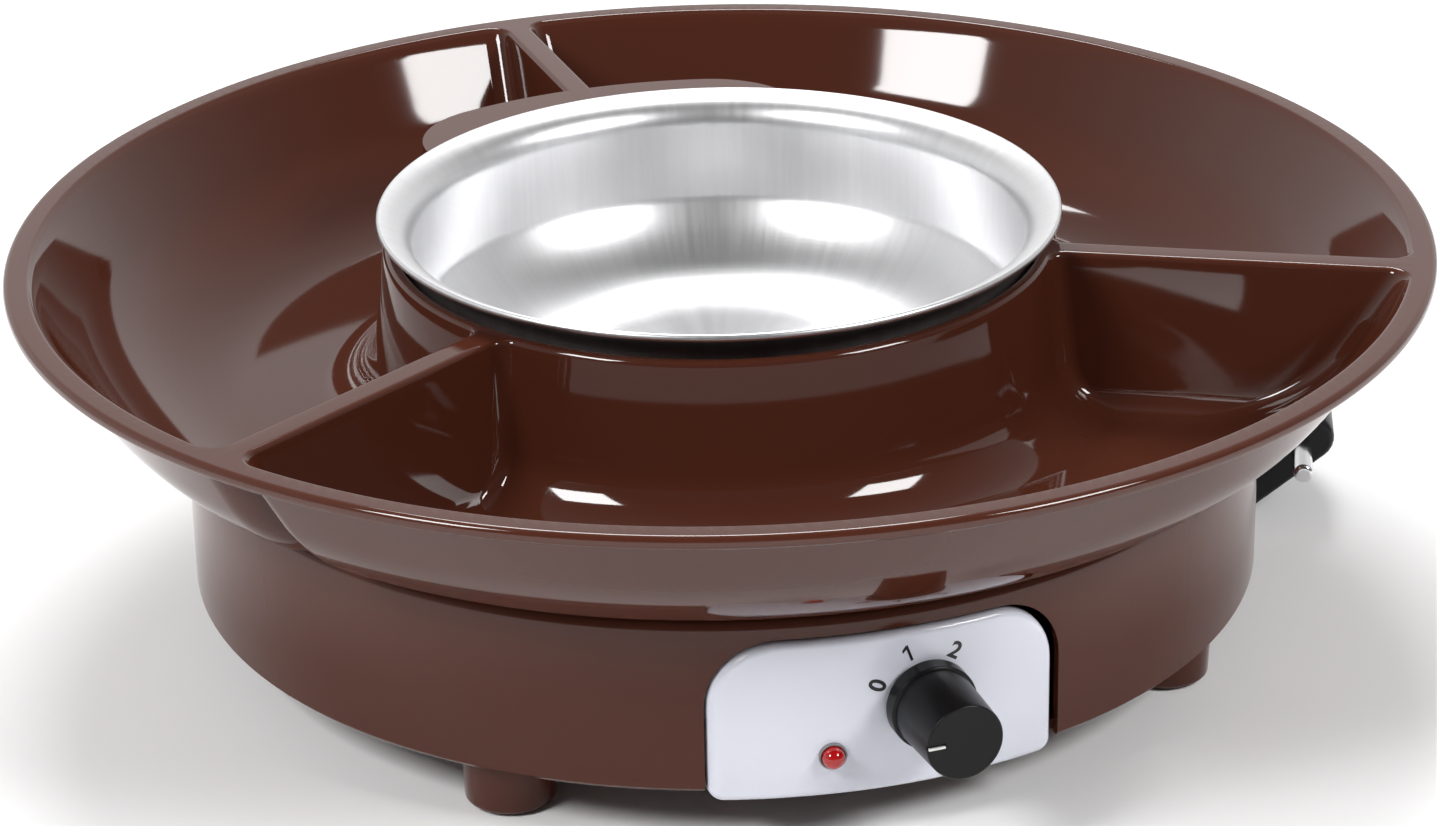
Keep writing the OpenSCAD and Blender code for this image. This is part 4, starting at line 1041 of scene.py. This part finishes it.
def facing_panel(azimuth, z):
    """Matrix with local Z out of the panel and zero on its face."""
    return (Matrix.Rotation(math.radians(azimuth), 4, "Z") @ Matrix.Translation((PANEL_R, 0, z))
            @ Matrix.Rotation(math.pi / 2, 4, "Y"))


def build_indicator():
    """The domed lens in its bezel."""
    root, dome_z, flat_z = -5.0, 1.0, 3.4
    bezel_low, bezel_z, bezel_round = -0.2, 0.5, 0.25
    place = facing_panel(LENS_AZ, LENS_Z)
    lens = [(0.0, root), (LENS_R, root), (LENS_R, dome_z)] + arc(0, dome_z, LENS_R, 0, 90, 14)
    lens = revolve([(r, min(z, flat_z)) for r, z in lens], 48, closed=False)
    add_piece("lens", placed(lens, place), "base", ["indicator_lens"], "lens_red", sharp=50)
    ring = [(BEZEL_IN, bezel_low), (BEZEL_OUT, bezel_low), (BEZEL_OUT, bezel_z - 0.05)]
    ring += arc(BEZEL_OUT - bezel_round, bezel_z, bezel_round, 0, 180, 6) + [(BEZEL_IN, bezel_z - 0.1)]
    add_piece("bezel", placed(revolve(ring, 48), place), "base", ["indicator_bezel"],
              "bezel_grey", sharp=50)


def number_mesh(text):
    """A flat number about four millimetres tall, standing on zero."""
    if text == "1":
        mesh = bpy.data.meshes.new("number_1")
        outline = [(-0.1, 0), (0.5, 0), (0.5, 3.9), (0, 3.9), (-1.1, 3.1), (-1.1, 2.45), (-0.1, 3.05)]
        mesh.from_pydata([(x, y, 0) for x, y in outline], [], [list(range(len(outline)))])
        return mesh
    curve = bpy.data.curves.new("number_" + text, "FONT")
    curve.body = text
    curve.size = NUMBER_SIZE
    curve.offset = NUMBER_WEIGHT
    curve.align_x = "CENTER"
    curve.align_y = "BOTTOM_BASELINE"
    curve.resolution_u = 6
    temp = linked_object("number_" + text, curve)
    bpy.context.view_layer.update()
    mesh = bpy.data.meshes.new_from_object(temp.evaluated_get(bpy.context.evaluated_depsgraph_get()))
    bpy.data.objects.remove(temp, do_unlink=True)
    return mesh


def printed_part(mesh, angle):
    """A flat mesh turned to its place round the knob and bent, with a little depth, onto the panel."""
    bm = bmesh.new()
    bm.from_mesh(mesh)
    bmesh.ops.triangulate(bm, faces=bm.faces)
    bm.verts.index_update()
    spin = Matrix.Rotation(math.radians(angle - 90), 4, "Z")
    front = [spin @ Vector((v.co.x, v.co.y + NUMBER_R, 0)) for v in bm.verts]
    verts = [(p.x, -math.sqrt((PANEL_R + depth) ** 2 - p.x * p.x), p.y + KNOB_Z)
             for depth in (NUMBER_TOP, NUMBER_ROOT) for p in front]
    n = len(front)
    tris = [[v.index for v in f.verts] for f in bm.faces]
    rim = [[v.index for v in e.verts] for e in bm.edges if len(e.link_faces) == 1]
    bm.free()
    backs = [[i + n for i in reversed(tri)] for tri in tris]
    return verts, tris + backs + [[a, b, b + n, a + n] for a, b in rim]


def build_numbers():
    """Plain numbers 0, 1 and 2 round the knob, printed on the panel."""
    for text, angle in NUMBERS:
        add_piece("number_" + text, printed_part(number_mesh(text), angle), "base", [],
                  "print_black", smooth=False)


class FONDUE_OT_controls(bpy.types.Operator):
    """Adds the knob with its white line, the indicator and the printed numbers"""
    bl_idname = "fondue.controls"
    bl_label = "Knob, indicator and numbers"

    def execute(self, context):
        build_knob()
        build_indicator()
        build_numbers()
        return {"FINISHED"}


# Inner pieces

NODE_MATERIALS = {
    "bottom_cover": "cover_brown", "foot_pads": "rubber", "cover_screws": "plated_steel",
    "switch_shaft": "plated_steel", "rotary_switch": "black_moulding", "switch_nut": "plated_steel",
    "switch_washer": "plated_steel", "indicator_socket": "black_moulding",
    "heater_plate": "plate_aluminium", "insulating_ring": "black_moulding",
    "heating_element": "dark_steel", "heat_shield": "bright_sheet", "shield_screws": "plated_steel",
    "thermostat": "cream", "thermostat_screws": "plated_steel", "thermal_fuse": "cream",
    "fuse_clip": "plated_steel", "terminal_block": "cream", "terminal_screws": "brass",
    "cord_clamp": "cream", "clamp_screws": "plated_steel", "inner_lead": "cord_black",
    "inner_wires": "sleeve",
}


class FONDUE_OT_inside(bpy.types.Operator):
    """Gives the pieces inside the base and under it their finishes"""
    bl_idname = "fondue.inside"
    bl_label = "Inner pieces"

    def execute(self, context):
        for node, name in NODE_MATERIALS.items():
            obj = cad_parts[node]
            obj.data.materials.clear()
            obj.data.materials.append(MATERIALS[name])
        return {"FINISHED"}


# Floor, lights and surroundings

def add_floor():
    """The pale floor that the pot stands on."""
    half = 6.0
    mesh = bpy.data.meshes.new("floor")
    corners = [(-half, -half, 0), (half, -half, 0), (half, half, 0), (-half, half, 0)]
    mesh.from_pydata(corners, [], [(0, 1, 2, 3)])
    floor = linked_object("floor", mesh)
    mat, shader = bare_material("Pale floor")
    fill(shader, Base_Color=(0.96, 0.96, 0.96, 1), Roughness=0.75, Specular_IOR_Level=0.2)
    mesh.materials.append(mat)


def add_surroundings(context):
    """White for the camera; for reflections, darker overhead and in front of the pot."""
    world = bpy.data.worlds.new("surroundings")
    context.scene.world = world
    world.use_nodes = True
    tree = world.node_tree
    way = axes(tree, tree.nodes.new("ShaderNodeTexCoord").outputs["Generated"])
    height = spread(tree, way["Z"], 0.3, 0.85, 1.0, 0.4)
    depth = spread(tree, way["Y"], -0.5, 0.5, 0.12, 0.95)
    room = times(tree, height, depth)
    seen = tree.nodes.new("ShaderNodeLightPath").outputs["Is Camera Ray"]
    back = tree.nodes["Background"]
    fill(back, Color=(1, 1, 1, 1))
    tree.links.new(math_node(tree, "MAXIMUM", room, seen), back.inputs["Strength"])


def soft_light(name, azimuth, elevation, distance, size, power):
    """A rectangular soft light that looks at the pot."""
    a, e = math.radians(azimuth), math.radians(elevation)
    target = Vector((0, 0, 0.07))
    way = Vector((math.cos(a) * math.cos(e), math.sin(a) * math.cos(e), math.sin(e)))
    lamp = bpy.data.lights.new(name, "AREA")
    lamp.shape = "RECTANGLE"
    lamp.size, lamp.size_y = size
    lamp.energy = power
    obj = linked_object(name, lamp)
    obj.location = target + distance * way
    obj.rotation_euler = (target - obj.location).to_track_quat("-Z", "Y").to_euler()


class FONDUE_OT_stage(bpy.types.Operator):
    """Adds the pale floor, the soft lights and the white surroundings"""
    bl_idname = "fondue.stage"
    bl_label = "Floor and lights"

    def execute(self, context):
        add_floor()
        add_surroundings(context)
        for light in LIGHTS:
            soft_light(*light)
        context.scene.view_settings.view_transform = "Standard"
        return {"FINISHED"}


# Panel and registration

class FONDUE_PT_pieces(bpy.types.Panel):
    """Lists the steps that build the pot"""
    bl_label = "Fondue pot"
    bl_space_type = "VIEW_3D"
    bl_region_type = "UI"
    bl_category = "Fondue pot"

    def draw(self, context):
        layout = self.layout
        for name in ("brown", "panel", "black", "lens", "aluminium"):
            layout.prop(context.scene.fondue_colours, name)
        for name in ("gloss", "satin"):
            layout.prop(context.scene.fondue_finish, name)
        layout.prop(context.scene.fondue_lead, "diameter")
        for step in STEPS:
            layout.operator(step.bl_idname)


STEPS = (FONDUE_OT_camera, FONDUE_OT_materials, FONDUE_OT_lead, FONDUE_OT_tray, FONDUE_OT_pot,
         FONDUE_OT_base, FONDUE_OT_controls, FONDUE_OT_inside, FONDUE_OT_stage)
CLASSES = (FonduePotColours, FonduePotFinish, FonduePotLead, *STEPS, FONDUE_PT_pieces)


def register():
    """Registers the classes and their settings."""
    for cls in CLASSES:
        bpy.utils.register_class(cls)
    bpy.types.Scene.fondue_colours = PointerProperty(type=FonduePotColours)
    bpy.types.Scene.fondue_finish = PointerProperty(type=FonduePotFinish)
    bpy.types.Scene.fondue_lead = PointerProperty(type=FonduePotLead)


def unregister():
    """Removes the settings and the classes."""
    del bpy.types.Scene.fondue_lead
    del bpy.types.Scene.fondue_finish
    del bpy.types.Scene.fondue_colours
    for cls in reversed(CLASSES):
        bpy.utils.unregister_class(cls)


def main():
    """Builds everything in order."""
    register()
    for step in STEPS:
        group, action = step.bl_idname.split(".")
        getattr(getattr(bpy.ops, group), action)()


if __name__ == "__main__":
    main()
